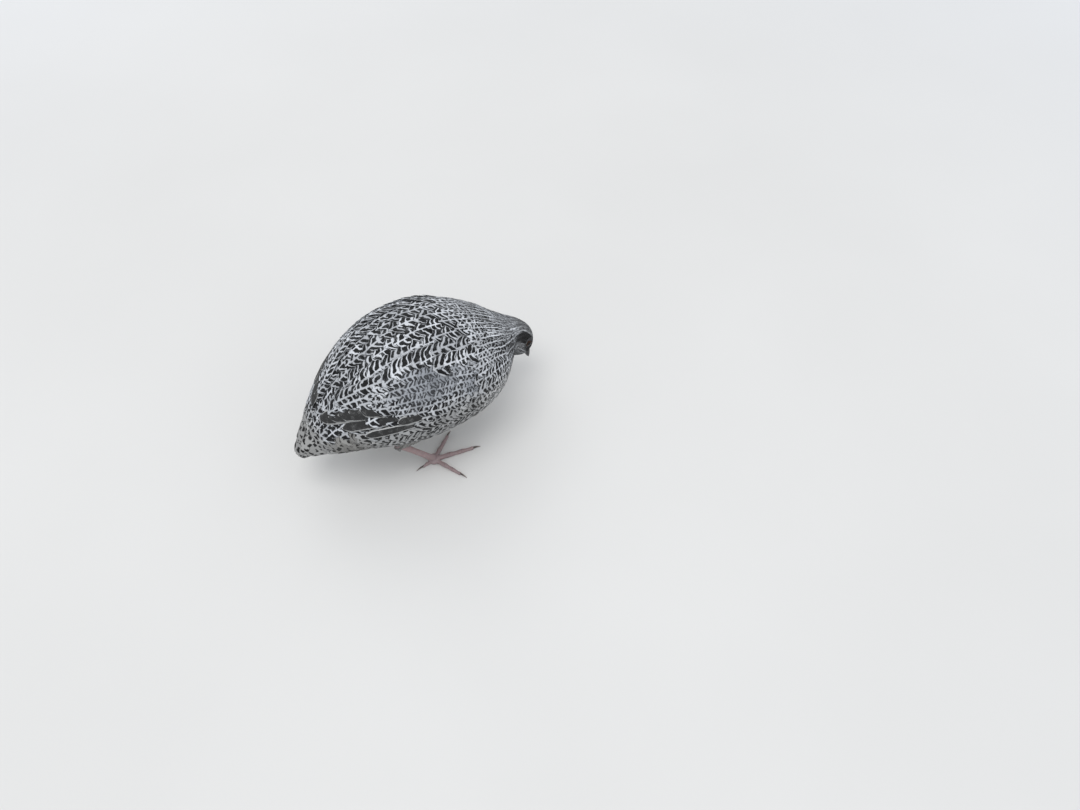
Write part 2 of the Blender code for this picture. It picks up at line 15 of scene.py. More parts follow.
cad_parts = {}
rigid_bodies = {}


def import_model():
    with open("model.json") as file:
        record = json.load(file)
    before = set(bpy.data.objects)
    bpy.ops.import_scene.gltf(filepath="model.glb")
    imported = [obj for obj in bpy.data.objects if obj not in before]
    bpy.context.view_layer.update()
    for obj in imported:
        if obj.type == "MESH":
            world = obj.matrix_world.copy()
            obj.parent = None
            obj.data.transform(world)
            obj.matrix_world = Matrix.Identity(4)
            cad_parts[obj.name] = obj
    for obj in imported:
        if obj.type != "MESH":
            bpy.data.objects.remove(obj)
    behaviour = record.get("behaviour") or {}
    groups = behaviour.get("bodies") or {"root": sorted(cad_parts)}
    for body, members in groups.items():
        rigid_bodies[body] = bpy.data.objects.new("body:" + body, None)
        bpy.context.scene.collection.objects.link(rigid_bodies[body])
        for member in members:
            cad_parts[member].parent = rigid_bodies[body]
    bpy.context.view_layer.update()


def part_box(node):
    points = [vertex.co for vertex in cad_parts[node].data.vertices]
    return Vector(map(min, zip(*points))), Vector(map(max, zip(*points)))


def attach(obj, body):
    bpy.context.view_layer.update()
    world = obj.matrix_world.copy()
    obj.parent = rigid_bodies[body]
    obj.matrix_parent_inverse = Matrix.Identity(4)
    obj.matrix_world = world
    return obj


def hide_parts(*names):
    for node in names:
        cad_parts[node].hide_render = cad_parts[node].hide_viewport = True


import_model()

MM = 0.001

# Body: x, z, climb of the spine in degrees, half width, height above it, depth below it
BODY = np.array([
    (-66.0, 44.5, 26.0, 21.5, 12.0, 13.5),
    (-54.0, 50.5, 20.0, 29.5, 18.5, 21.5),
    (-35.0, 55.5, 12.0, 39.0, 29.0, 32.0),
    (-12.0, 58.5, 3.0, 45.0, 38.5, 39.5),
    (12.0, 58.0, -3.0, 45.5, 40.0, 40.0),
    (32.0, 54.5, -8.0, 41.5, 35.5, 37.0),
    (47.8, 51.5, -13.6, 34.0, 27.3, 31.4),
    (57.1, 50.9, -21.9, 25.2, 19.0, 25.0),
    (63.1, 50.8, -34.5, 17.6, 14.8, 19.4),
    (68.3, 48.7, -48.0, 12.7, 13.8, 16.4),
    (72.4, 44.4, -55.5, 11.0, 13.6, 13.6),
    (76.0, 39.1, -59.0, 9.8, 12.7, 11.0),
    (79.0, 33.9, -63.0, 7.9, 9.6, 7.8),
    (80.9, 30.0, -66.0, 4.6, 4.9, 4.2),
])
FACE = len(BODY) - 1.0

# Tail: the same kind of section, from the tip of the feathers to the rump
TAIL = np.array([
    (-85.6, 33.4, 37.0, 4.4, 0.8, 0.9),
    (-79.4, 37.9, 32.5, 9.2, 3.2, 3.4),
    (-73.0, 41.5, 28.0, 15.4, 6.8, 7.6),
    (-66.0, 44.5, 26.0, 21.5, 12.0, 13.5),
])

# The trunk runs from the tail's tip, place -3, over the rump, place 0, to the face
TRUNK = np.concatenate([TAIL[:-1], BODY])
TAIL_PLACES = len(TAIL) - 1

# Wing: a place along the spine, and the angles of its lower and upper edge there
WING = np.array([
    (4.90, 16.0, 32.0),
    (4.65, 6.0, 44.0),
    (4.00, 2.0, 52.0),
    (3.20, 7.0, 58.0),
    (2.60, 15.0, 63.0),
    (2.10, 27.0, 67.0),
    (1.40, 42.0, 73.0),
    (0.62, 66.0, 80.0),
])
WING_FRONT, WING_BACK = WING[0, 0], WING[-1, 0]
WING_RISE = 1.7  # how far it lifts the body's feathers over it; its coverts' tips lie lower
WING_LANES = 8
WING_GREYS = ((3.2, 42.0, 1.05, 21.0), (4.5, 25.0, 0.9, 14.0))  # patches, like DARK_FACE_AND_SHADE
# Share of the wing's height, and the place where the coverts end there: the primaries lie bare
COVERT_ENDS = ((0.0, 0.35, 0.60, 0.80, 1.0), (2.40, 2.18, 1.5, 1.05, 0.9))
# place and angle of the root, place and angle of the tip, half width; the lowest first
PRIMARIES = (
    (2.80, 18.0, 1.00, 46.0, 3.8),
    (2.72, 21.0, 0.50, 78.0, 4.9),
    (2.66, 23.0, 0.86, 69.5, 4.8),
    (2.58, 26.0, 1.16, 62.5, 4.8),
    (2.50, 29.0, 1.46, 57.0, 4.7),
    (2.46, 31.0, 1.72, 52.0, 4.5),
    (2.70, 9.0, 1.42, 22.5, 2.9),
    (3.05, 14.0, 2.30, 22.0, 3.0),
)
TERTIALS = (
    (2.90, 30.0, 2.00, 44.0, 4.8),
    (2.90, 38.0, 1.78, 56.0, 5.1),
    (2.90, 46.0, 1.45, 66.0, 5.2),
    (2.95, 52.0, 1.30, 75.0, 5.2),
    (2.95, 54.0, 1.85, 69.0, 4.8),
)
# angle on the tail, place of the root, place of the tip, half width, height of the tip
TAIL_FEATHERS = (
    (6.0, 2.2, 0.40, 3.6, 0.8),
    (29.0, 2.3, 0.22, 4.1, 1.05),
    (52.0, 2.3, 0.10, 4.3, 1.3),
    (76.0, 2.3, 0.0, 4.4, 1.55),
)

# Head and bill
EYE_BACK, EYE_UP, EYE_RADIUS, EYE_SHOWS = 12.2, 4.3, 4.0, 1.1
LID_OPEN, LID_OUT = (40.0, 36.0), 60.0  # degrees from the eye's axis: the opening, the rim
BILL_LENGTH, BILL_HALF_WIDTH, CULMEN, GONYS = 12.6, 2.7, 3.4, 2.1
BILL_DROOP = 0.012
EYE_ROOM = 2.55  # how near the eye's middle the feathers come
EYE_RING_FEATHERS = 46
# Patches, each with the place and angle of its middle and its reach along and round the body
# The dark face patches are partly dark plumage and partly painted shadow on the lowered face
DARK_FACE_AND_SHADE = ((9.9, 34.0, 2.9, 20.0), (12.0, 22.0, 2.2, 30.0))
BROW_PLACE, BROW_ANGLE, BROW_FALL = 6.76, 65.5, 5.0  # its angle falls by so much for each place

# Legs
FOOT_X, FOOT_Y, FOOT_TURN = -9.0, 30.0, 13.0
PAD_RADIUS, PAD_HEIGHT = 4.2, 4.6
HOCK = (-29.5, 30.0, 34.0)
SHANK_RADIUS = 2.2
KNEE = (-16.0, 24.0, 42.0)
THIGH_RADIUS = 11.5
TOES = (
    ("middle", 0.0, 27.0, 1.85),
    ("outer", 52.0, 21.5, 1.65),
    ("inner", -49.0, 20.5, 1.65),
    ("hind", 162.0, 9.0, 1.4),
)
CLAW_LENGTH = 5.0
# Share of the way from hock to foot, and the shank's girth there over its radius
SHANK_GIRTH = (
    (-0.06, 0.0, 0.12, 0.35, 0.6, 0.82, 0.94, 1.0),
    (1.2, 1.3, 1.08, 0.95, 0.92, 0.98, 1.12, 1.05),
)
# Share of the claw's length, its height over the floor in mm, and its girth
CLAW_FORM = (
    (0.0, 0.3, 0.62, 0.88, 1.0),
    (1.15, 1.45, 1.2, 0.55, 0.16),
    (1.0, 0.86, 0.6, 0.3, 0.1),
)

# Plumage: columns of feathers round the body, and along it a place with the bare length
# of a feather there, the width wanted, and how deep the coat is
COLUMNS = 64
GROWTH = np.array([
    (-3.0, 5.0, 4.6, 0.6),
    (-1.6, 5.6, 5.0, 0.8),
    (0.0, 6.5, 6.2, 1.4),
    (2.0, 7.4, 8.0, 1.7),
    (4.9, 7.2, 8.0, 1.7),
    (5.3, 6.0, 4.8, 1.6),
    (6.6, 4.4, 3.6, 1.3),
    (7.6, 3.3, 2.6, 1.1),
    (8.8, 2.3, 1.5, 0.8),
    (10.5, 1.7, 1.2, 0.65),
    (12.0, 1.3, 1.0, 0.5),
    (13.3, 1.0, 0.8, 0.4),
])
COLUMNS_END = -1.5
OVERLAP = 2.5  # a feather's length over its bare part
SEED = 7

# Marks on a feather, in mm
BAR_CURVE = 0.10  # how strongly a bar bends back beside the shaft
BAR_WANDER, RIM_WANDER = 4.6, 0.9
MARK_ROUNDING, MARK_FRAY, MARK_SOFTNESS = 0.9, 0.75, 0.24
BARB_SLOPE, BARB_RATE = 0.8, 26.0

FLOOR_HALF = 4000.0
# name, watts, size, place and colour, in metres
LAMPS = (
    ("key", 9.0, 0.9, (-0.35, -0.25, 1.5), (1.0, 0.99, 0.97)),
    ("fill", 3.0, 1.4, (1.1, -0.9, 0.9), (0.95, 0.975, 1.0)),
    ("back", 4.0, 1.0, (0.3, 1.2, 1.1), (1.0, 1.0, 1.0)),
)

# Camera, in the frame of the named sizes
CAMERA_AT = (-116.41, -341.74, 477.28)
CAMERA_RIGHT = (0.84126, -0.54040, -0.01594)
CAMERA_UP = (0.43700, 0.66234, 0.60855)
CAMERA_FORWARD = (0.31831, 0.51891, -0.79335)
CAMERA_LENS = 28.67


def rows_at(table, place):
    """Rows of the table at places between its own rows, on a Catmull-Rom curve."""
    place = np.asarray(place, float)
    last = len(table) - 1
    i = np.clip(np.floor(place).astype(int), 0, last - 1)
    u = (place - i)[..., None]
    a, b = table[np.maximum(i - 1, 0)], table[i]
    c, d = table[i + 1], table[np.minimum(i + 2, last)]
    return 0.5 * (
        2 * b + (c - a) * u + (2 * a - 5 * b + 4 * c - d) * u * u
        + (3 * b - a - 3 * c + d) * u ** 3
    )


def on_table(table, place, turn, out):
    """Points on oval sections. The turn is 0 at the right side, 90 at the back, 180 at the left."""
    x, z, climb, half_width, above, below = np.moveaxis(rows_at(table, place), -1, 0)
    lean, angle = np.radians(climb), np.radians(turn)
    rise = np.sin(angle)
    height = (np.where(rise > 0, above, below) + out) * rise
    return np.stack([
        x - np.sin(lean) * height + SHIFT,
        -(half_width + out) * np.cos(angle),
        z + np.cos(lean) * height,
    ], -1)


def on_body(place, turn, out):
    return on_table(TRUNK, np.asarray(place, float) + TAIL_PLACES, turn, out)


def side_angle(turn):
    """The angle up from the bird's side, -90 at the belly and 90 at the back, from a turn."""
    folded = (np.asarray(turn, float) + 90.0) % 360.0 - 90.0
    return np.where(folded > 90.0, 180.0 - folded, folded)


def turn_on(side, angle):
    """The turn for an angle up the right side, -1, or the left side, 1."""
    return angle if side < 0 else 180.0 - angle


def bump(value, low, high, soft):
    """1 well inside low..high and 0 outside, with soft edges."""
    t = np.clip(np.minimum(value - low, high - value) / soft, 0.0, 1.0)
    return t * t * (3 - 2 * t)


def blend_to(first, second, share):
    return first + (second - first) * share


def wing_share(place):
    return (WING_FRONT - place) / (WING_FRONT - WING_BACK)


def wing_edges(share):
    at = (WING_FRONT - WING[:, 0]) / (WING_FRONT - WING_BACK)
    return np.interp(share, at, WING[:, 1]), np.interp(share, at, WING[:, 2])


def over_wing(place, angle, margin=4.0, soft=12.0):
    """1 over the middle of the folded wing, 0 away from it."""
    share = wing_share(place)
    low, high = wing_edges(share)
    return bump(share, -0.04, 1.04, 0.14) * bump(angle, low - margin, high + margin, soft)


def head_axes():
    """The centre of the face, the way the bill points and the way the crown points."""
    x, z, climb = BODY[-1][:3]
    lean = math.radians(climb)
    return (
        np.array([x + SHIFT, 0.0, z]),
        np.array([math.cos(lean), 0.0, math.sin(lean)]),
        np.array([-math.sin(lean), 0.0, math.cos(lean)]),
    )


def eye_centre(side):
    face, ahead, up = head_axes()
    centre = face - ahead * EYE_BACK + up * EYE_UP
    cheek = rows_at(BODY, FACE - 2.0)
    half_width = cheek[3] * math.sqrt(1.0 - (EYE_UP / cheek[4]) ** 2)
    return centre + np.array([0.0, side * (half_width + EYE_SHOWS - EYE_RADIUS), 0.0])


def measured_shift():
    """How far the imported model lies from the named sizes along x, from its right eye."""
    low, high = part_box("eye_right")
    return (low[0] + high[0]) / 2 / MM - eye_centre(-1)[0]


class Recipe:
    """Shader nodes from short calls. Each call gives a socket that the next one may take."""

    def __init__(self, name):
        self.material = bpy.data.materials.new(name)
        self.material.use_nodes = True
        self.tree = self.material.node_tree
        self.shader = self.tree.nodes["Principled BSDF"]

    def put(self, socket, value):
        if isinstance(value, bpy.types.NodeSocket):
            self.tree.links.new(value, socket)
        else:
            socket.default_value = value

    def do(self, operation, *values):
        node = self.tree.nodes.new("ShaderNodeMath")
        node.operation = operation
        for socket, value in zip(node.inputs, values):
            self.put(socket, value)
        return node.outputs[0]

    def times(self, first, second):
        return self.do("MULTIPLY", first, second)

    def plus(self, first, second):
        return self.do("ADD", first, second)

    def less(self, first, second):
        return self.do("SUBTRACT", first, second)

    def step(self, value, low, high):
        """0 below low and 1 above high, smooth between them."""
        node = self.tree.nodes.new("ShaderNodeMapRange")
        node.interpolation_type = "SMOOTHSTEP"
        for socket, given in zip(node.inputs, (value, low, high, 0.0, 1.0)):
            self.put(socket, given)
        return node.outputs[0]

    def between(self, share, low, high):
        """A number that goes from low to high with the share."""
        return self.plus(self.times(share, self.less(high, low)), low)

    def nearest(self, first, second, soft):
        """The lower of two distances, rounded where they are alike."""
        return self.do("SMOOTH_MIN", first, second, soft)

    def vector(self, x, y, z):
        node = self.tree.nodes.new("ShaderNodeCombineXYZ")
        for socket, value in zip(node.inputs, (x, y, z)):
            self.put(socket, value)
        return node.outputs[0]

    def attribute(self, name):
        """The three numbers of a named attribute."""
        node = self.tree.nodes.new("ShaderNodeAttribute")
        node.attribute_name = name
        split = self.tree.nodes.new("ShaderNodeSeparateXYZ")
        self.tree.links.new(node.outputs["Vector"], split.inputs[0])
        return split.outputs[0], split.outputs[1], split.outputs[2]

    def object_place(self):
        node = self.tree.nodes.new("ShaderNodeTexCoord")
        return node.outputs["Object"]

    def noise(self, where, scale, detail=2.0, roughness=0.5):
        node = self.tree.nodes.new("ShaderNodeTexNoise")
        self.put(node.inputs["Vector"], where)
        node.inputs["Scale"].default_value = scale
        node.inputs["Detail"].default_value = detail
        node.inputs["Roughness"].default_value = roughness
        return node.outputs[0]

    def drift(self, where, scale):
        """Two numbers that wander from -0.5 to 0.5, each on its own."""
        node = self.tree.nodes.new("ShaderNodeTexNoise")
        self.put(node.inputs["Vector"], where)
        node.inputs["Scale"].default_value = scale
        node.inputs["Detail"].default_value = 1.0
        split = self.tree.nodes.new("ShaderNodeSeparateColor")
        self.tree.links.new(node.outputs["Color"], split.inputs[0])
        return self.less(split.outputs[0], 0.5), self.less(split.outputs[1], 0.5)

    def mix(self, share, first, second):
        node = self.tree.nodes.new("ShaderNodeMix")
        node.data_type = "RGBA"
        for index, value in ((0, share), (6, first), (7, second)):
            self.put(node.inputs[index], value)
        return node.outputs[2]

    def grey(self, value, warm):
        """A grey of this brightness, cold where warm is 0 and buff where it is 1."""
        node = self.tree.nodes.new("ShaderNodeCombineColor")
        self.put(node.inputs[0], self.times(value, self.between(warm, 0.965, 1.04)))
        self.put(node.inputs[1], self.times(value, self.between(warm, 0.985, 0.97)))
        self.put(node.inputs[2], self.times(value, self.between(warm, 1.01, 0.82)))
        return node.outputs[0]

    def rise(self, height, strength, distance):
        node = self.tree.nodes.new("ShaderNodeBump")
        node.inputs["Strength"].default_value = strength
        node.inputs["Distance"].default_value = distance
        self.tree.links.new(height, node.inputs["Height"])
        self.tree.links.new(node.outputs[0], self.shader.inputs["Normal"])

    def finish(self, colour, roughness, **fixed):
        self.put(self.shader.inputs["Base Color"], colour)
        self.put(self.shader.inputs["Roughness"], roughness)
        for name, value in fixed.items():
            self.shader.inputs[name.replace("_", " ")].default_value = value
        return self.material


def feather_material():
    """Barred, streaked and edged vane. Its numbers come from each feather's attributes, in mm."""
    made = Recipe("feather")
    do, times, plus, less = made.do, made.times, made.plus, made.less
    across, along, chance = made.attribute("lie")
    half, length, warm = made.attribute("span")
    period, pale_share, streak = made.attribute("marks")
    dark, pale, edge = made.attribute("tone")
    aside = times(do("ABSOLUTE", across), half)
    behind = times(less(1.0, along), length)
    own_layer = times(chance, 61.0)
    where = made.vector(times(across, half), behind, own_layer)
    slide, swell = made.drift(where, 0.26)
    fine = less(made.noise(where, 2.2, 2.0), 0.5)

    # Barbs leave the shaft towards the tip, and every mark frays along them
    barb_at = plus(behind, times(aside, BARB_SLOPE))
    on_barb = made.vector(times(barb_at, 5.0), times(aside, 0.5), own_layer)
    fray = times(less(made.noise(on_barb, 1.0, 1.0), 0.5), MARK_FRAY)
    barb = do("SINE", times(barb_at, BARB_RATE))

    # Distance to the nearest white mark: crescents across, the shaft's streak, the margin
    bent = less(behind, times(times(aside, aside), BAR_CURVE))
    bent = plus(bent, times(slide, BAR_WANDER))
    one_side = times(do("GREATER_THAN", across, 0.0), do("FRACT", times(chance, 17.0)))
    phase = plus(do("DIVIDE", bent, period), plus(times(chance, 3.0), one_side))
    off_bar = times(do("ABSOLUTE", less(do("FRACT", phase), 0.5)), period)
    bar_half = times(times(pale_share, period), plus(0.5, times(swell, 1.5)))
    to_bar = less(off_bar, bar_half)
    to_line = less(aside, times(streak, plus(1.0, times(swell, 0.8))))
    from_side = times(less(1.0, do("ABSOLUTE", across)), half)
    to_rim = less(do("MINIMUM", from_side, behind), edge)
    to_rim = plus(to_rim, times(slide, RIM_WANDER))
    to_white = made.nearest(made.nearest(to_bar, to_line, MARK_ROUNDING), to_rim, MARK_ROUNDING)
    to_white = plus(to_white, fray)
    white = made.step(to_white, MARK_SOFTNESS, -MARK_SOFTNESS)

    # Smudges on the dark, and a little change from feather to feather
    smudge = made.step(plus(swell, fine), 0.02, 0.55)
    own = made.between(do("FRACT", times(chance, 7.3)), 0.74, 1.12)
    dusk = made.between(smudge, dark, plus(dark, times(pale, 0.26)))
    value = made.between(white, dusk, times(pale, own))
    shade = plus(plus(0.97, times(barb, 0.035)), times(fine, 0.38))
    value = times(value, shade)
    relief = plus(times(barb, 0.5), made.step(aside, 0.30, 0.0))
    made.rise(relief, 0.20, 0.00005)
    rough = made.between(white, 0.60, 0.76)
    return made.finish(
        made.grey(value, warm), rough,
        Sheen_Weight=0.03, Sheen_Roughness=0.4, Specular_IOR_Level=0.12,
    )


def skin_material():
    """The down under the feathers, mottled with the same dark and pale shades."""
    made = Recipe("down")
    share, dark, pale = made.attribute("under")
    place = made.object_place()
    mottle = made.noise(place, 420.0, 2.0)
    white = made.step(made.plus(mottle, made.times(share, 0.4)), 0.62, 0.72)
    fluff = made.noise(place, 2600.0, 3.0)
    value = made.between(white, dark, made.times(pale, 0.8))
    value = made.times(value, made.between(fluff, 0.7, 1.2))
    made.rise(fluff, 0.5, 0.0004)
    return made.finish(made.grey(value, 0.1), made.between(fluff, 0.75, 0.95), Sheen_Weight=0.2)


def leg_material():
    """Mauve-pink skin, dark in the grooves between its plates and dusty on top."""
    made = Recipe("scaled_skin")
    raised = made.attribute("lie")[2]
    place = made.object_place()
    patch = made.noise(place, 260.0, 3.0)
    grain = made.noise(place, 2400.0, 3.0)
    groove = made.step(raised, 0.0, 0.45)
    pink = made.mix(patch, (0.235, 0.165, 0.170, 1.0), (0.33, 0.245, 0.245, 1.0))
    # Darker in the grooves between the plates
    darker_in_grooves = made.mix(groove, (0.12, 0.080, 0.082, 1.0), pink)
    dusty = made.mix(made.step(grain, 0.55, 0.8), darker_in_grooves, (0.38, 0.32, 0.30, 1.0))
    made.rise(made.plus(grain, groove), 0.35, 0.0002)
    return made.finish(dusty, made.between(grain, 0.42, 0.66), Subsurface_Weight=0.05)


def horn_material(name, dark, pale, tip_gain):
    """Horn with fine lengthwise growth lines, paler towards the tip."""
    made = Recipe(name)
    around, along, side = made.attribute("lie")
    lines = made.noise(made.vector(made.times(around, 9.0), along, side), 3.0, 3.0)
    cloud = made.noise(made.object_place(), 500.0, 3.0)
    share = made.plus(made.times(made.do("POWER", along, 2.0), tip_gain), made.times(lines, 0.35))
    colour = made.mix(made.do("MINIMUM", share, 1.0), (*dark, 1.0), (*pale, 1.0))
    made.rise(made.plus(lines, made.times(cloud, 0.5)), 0.25, 0.00015)
    return made.finish(colour, made.between(cloud, 0.30, 0.50), Specular_IOR_Level=0.3)


def eye_material():
    """A dark brown iris with fine spokes round a black pupil, under a wet surface."""
    made = Recipe("wet_eye")
    around, ring, side = made.attribute("lie")
    spokes = made.noise(made.vector(made.times(around, 7.0), ring, side), 6.0, 3.0)
    brown = made.mix(spokes, (0.010, 0.0045, 0.002, 1.0), (0.050, 0.020, 0.008, 1.0))
    rimmed = made.mix(made.step(ring, 0.52, 0.62), brown, (0.004, 0.003, 0.003, 1.0))
    pupil = made.step(ring, 0.34, 0.39)
    colour = made.mix(pupil, (0.001, 0.001, 0.0012, 1.0), rimmed)
    rough = made.between(spokes, 0.02, 0.05)
    return made.finish(colour, rough, Specular_IOR_Level=0.22)


def lid_material():
    made = Recipe("eyelid")
    grain = made.noise(made.object_place(), 1800.0, 3.0)
    colour = made.mix(grain, (0.016, 0.016, 0.018, 1.0), (0.060, 0.058, 0.062, 1.0))
    made.rise(grain, 0.5, 0.0002)
    return made.finish(colour, made.between(grain, 0.5, 0.75), Specular_IOR_Level=0.25)


def floor_material():
    """A pale plain floor whose colour grows as light as the room far from the bird: painted light where
    the lamps don't reach.
    """
    made = Recipe("pale_floor")
    place = made.object_place()
    cloud = made.noise(place, 3.0, 4.0)
    grain = made.noise(place, 420.0, 3.0)
    near = made.mix(cloud, (0.64, 0.635, 0.62, 1.0), (0.72, 0.715, 0.70, 1.0))
    split = made.tree.nodes.new("ShaderNodeSeparateXYZ")
    made.put(split.inputs[0], place)
    x, y = split.outputs[0], split.outputs[1]
    away = made.do("SQRT", made.plus(made.times(x, x), made.times(y, y)))
    # Painted light: far from the bird the floor turns to the room's bright bluish white
    colour = made.mix(made.step(away, 0.30, 1.8), near, (0.94, 0.96, 1.0, 1.0))
    made.rise(grain, 0.05, 0.0002)
    return made.finish(colour, made.between(grain, 0.85, 0.95), Specular_IOR_Level=0.1)


def new_object(name, points, quads, triangles, material, attributes=None, uv=None):
    """An object from points in millimetres. Attributes are three numbers a point."""
    mesh = bpy.data.meshes.new(name)
    corners = [quads.reshape(-1)]
    sizes = [np.full(len(quads), 4)]
    if triangles is not None and len(triangles):
        corners.append(triangles.reshape(-1))
        sizes.append(np.full(len(triangles), 3))
    corners, sizes = np.concatenate(corners), np.concatenate(sizes)
    mesh.vertices.add(len(points))
    mesh.vertices.foreach_set("co", (points * MM).astype(np.float32).reshape(-1))
    mesh.loops.add(len(corners))
    mesh.loops.foreach_set("vertex_index", corners.astype(np.int32))
    mesh.polygons.add(len(sizes))
    starts = np.concatenate([[0], np.cumsum(sizes)[:-1]])
    mesh.polygons.foreach_set("loop_start", starts.astype(np.int32))
    mesh.update(calc_edges=True)
    mesh.validate()
    mesh.shade_smooth()
    mesh.materials.append(material)
    for key, values in (attributes or {}).items():
        layer = mesh.attributes.new(key, "FLOAT_VECTOR", "POINT")
        layer.data.foreach_set("vector", values.astype(np.float32).reshape(-1))
    if uv is not None:
        layer = mesh.uv_layers.new(name="OFBake")
        index = np.empty(len(mesh.loops), np.int32)
        mesh.loops.foreach_get("vertex_index", index)
        layer.data.foreach_set("uv", uv[index].astype(np.float32).reshape(-1))
    made = bpy.data.objects.new(name, mesh)
    bpy.context.scene.collection.objects.link(made)
    return made


def steps_of(surface, place, turn, out):
    """Millimetres for one place along and for one degree round, at each point."""
    def rate(step_place, step_turn):
        ahead = surface(place + step_place, turn + step_turn, out)
        back = surface(place - step_place, turn - step_turn, out)
        return np.linalg.norm(ahead - back, axis=-1) / (2 * (step_place + step_turn))

    return np.maximum(rate(0.02, 0.0), 0.5), np.maximum(rate(0.0, 0.5), 0.005)


def outline_form(kind, share):
    """Half width of a feather along its length, as a share of the widest."""
    if kind == "fine":
        return np.clip(0.55 + 1.6 * share, 0.0, 1.0) * np.clip(1.12 - share, 0.0, 0.72) / 0.72
    if kind == "round":
        body = np.clip(0.45 + 1.25 * share, 0.0, 1.0)
        tip = np.sqrt(np.clip(1.0 - ((share - 0.66) / 0.345) ** 2, 0.0, 1.0))
        return np.where(share > 0.66, tip, body)
    body = np.clip(0.55 + 1.2 * share, 0.0, 1.0)
    tip = np.clip(1.0 - ((share - 0.80) / 0.205) ** 2, 0.0, 1.0) ** 0.62
    return np.where(share > 0.80, tip, body)


def lay_out(surface, col, share, aside, height, side_bend):
    """Points at a share of a feather's length and a distance aside, this high over the surface."""
    place = col["place"] + (col["to_place"] - col["place"]) * share
    turn = col["turn"] + (col["to_turn"] - col["turn"]) * share
    mm_place, mm_turn = steps_of(surface, place, turn, 0.0)
    go_place = (col["to_place"] - col["place"]) * mm_place
    go_turn = (col["to_turn"] - col["turn"]) * mm_turn
    length = np.hypot(go_place, go_turn)
    go_place, go_turn = go_place / length, go_turn / length
    run_place = (-aside * go_turn - side_bend * go_place) / mm_place
    run_turn = (aside * go_place - side_bend * go_turn) / mm_turn
    return surface(place + run_place, turn + run_turn, height), length


def arch(col, share, across, roll, curl):
    """Height of a feather over the surface: its tip lies over the next ones, its edges dip."""
    height = col["low"] + (col["high"] - col["low"]) * np.clip(share, 0.0, 1.1) ** 0.9
    level = np.clip(share * 3.0, 0.0, 1.0) * (1.0 - 0.6 * share ** 3)
    return height + col["crown"] * ((1.0 - across ** 2) * level + roll * across + curl * share ** 4)


def fringe(surface, flock, col, kind, roll, curl, chance, barbs):
    """Loose barbs round the tip and sides of each feather, as closed slivers."""
    count = len(flock["place"])
    at = np.linspace(-1.0, 1.0, barbs)[None, :] + chance.uniform(-0.9, 0.9, (count, barbs)) / barbs
    sign = np.where(at < 0, -1.0, 1.0)
    share = np.clip(1.0 - 0.46 * np.abs(at) ** 1.25, 0.3, 0.995)
    flat = {key: values[:, :, 0] for key, values in col.items()}
    wide = flat["half"] * outline_form(kind, share)
    reach = chance.uniform(0.25, 1.0, (count, barbs)) * flat["fray"]
    lean = 0.35 + 0.75 * np.abs(at) + chance.uniform(-0.25, 0.25, (count, barbs))
    length = lay_out(surface, flat, share, sign * wide, 0.0, 0.0)[1]
    thick = chance.uniform(0.10, 0.20, (count, barbs))
    corners, marks = [], []
    for out, back, drop in ((-0.25, -1.0, 0.0), (-0.25, 1.0, 0.0), (-0.35, 0.0, 0.09), (1.0, 0.0, 0.05)):
        aside = sign * (wide + reach * out * np.sin(lean))
        run = share + (reach * out * np.cos(lean) + back * thick) / length
        bend = 0.30 * flat["half"] * share ** 2
        height = arch(flat, share, sign, roll[:, :, 0], curl[:, :, 0]) - drop
        corners.append(lay_out(surface, flat, run, aside, height, bend)[0])
        marks.append(np.stack([sign, share, flat["chance"] + 0 * share], -1))
    points = np.stack(corners, 2).reshape(-1, 3)
    lie = np.stack(marks, 2).reshape(-1, 3)
    first = 4 * np.arange(count * barbs)[:, None, None]
    faces = (first + np.array([(0, 1, 3), (1, 2, 3), (2, 0, 3), (0, 2, 1)])[None]).reshape(-1, 3)
    return points, faces, lie, np.repeat(np.arange(count), barbs * 4)


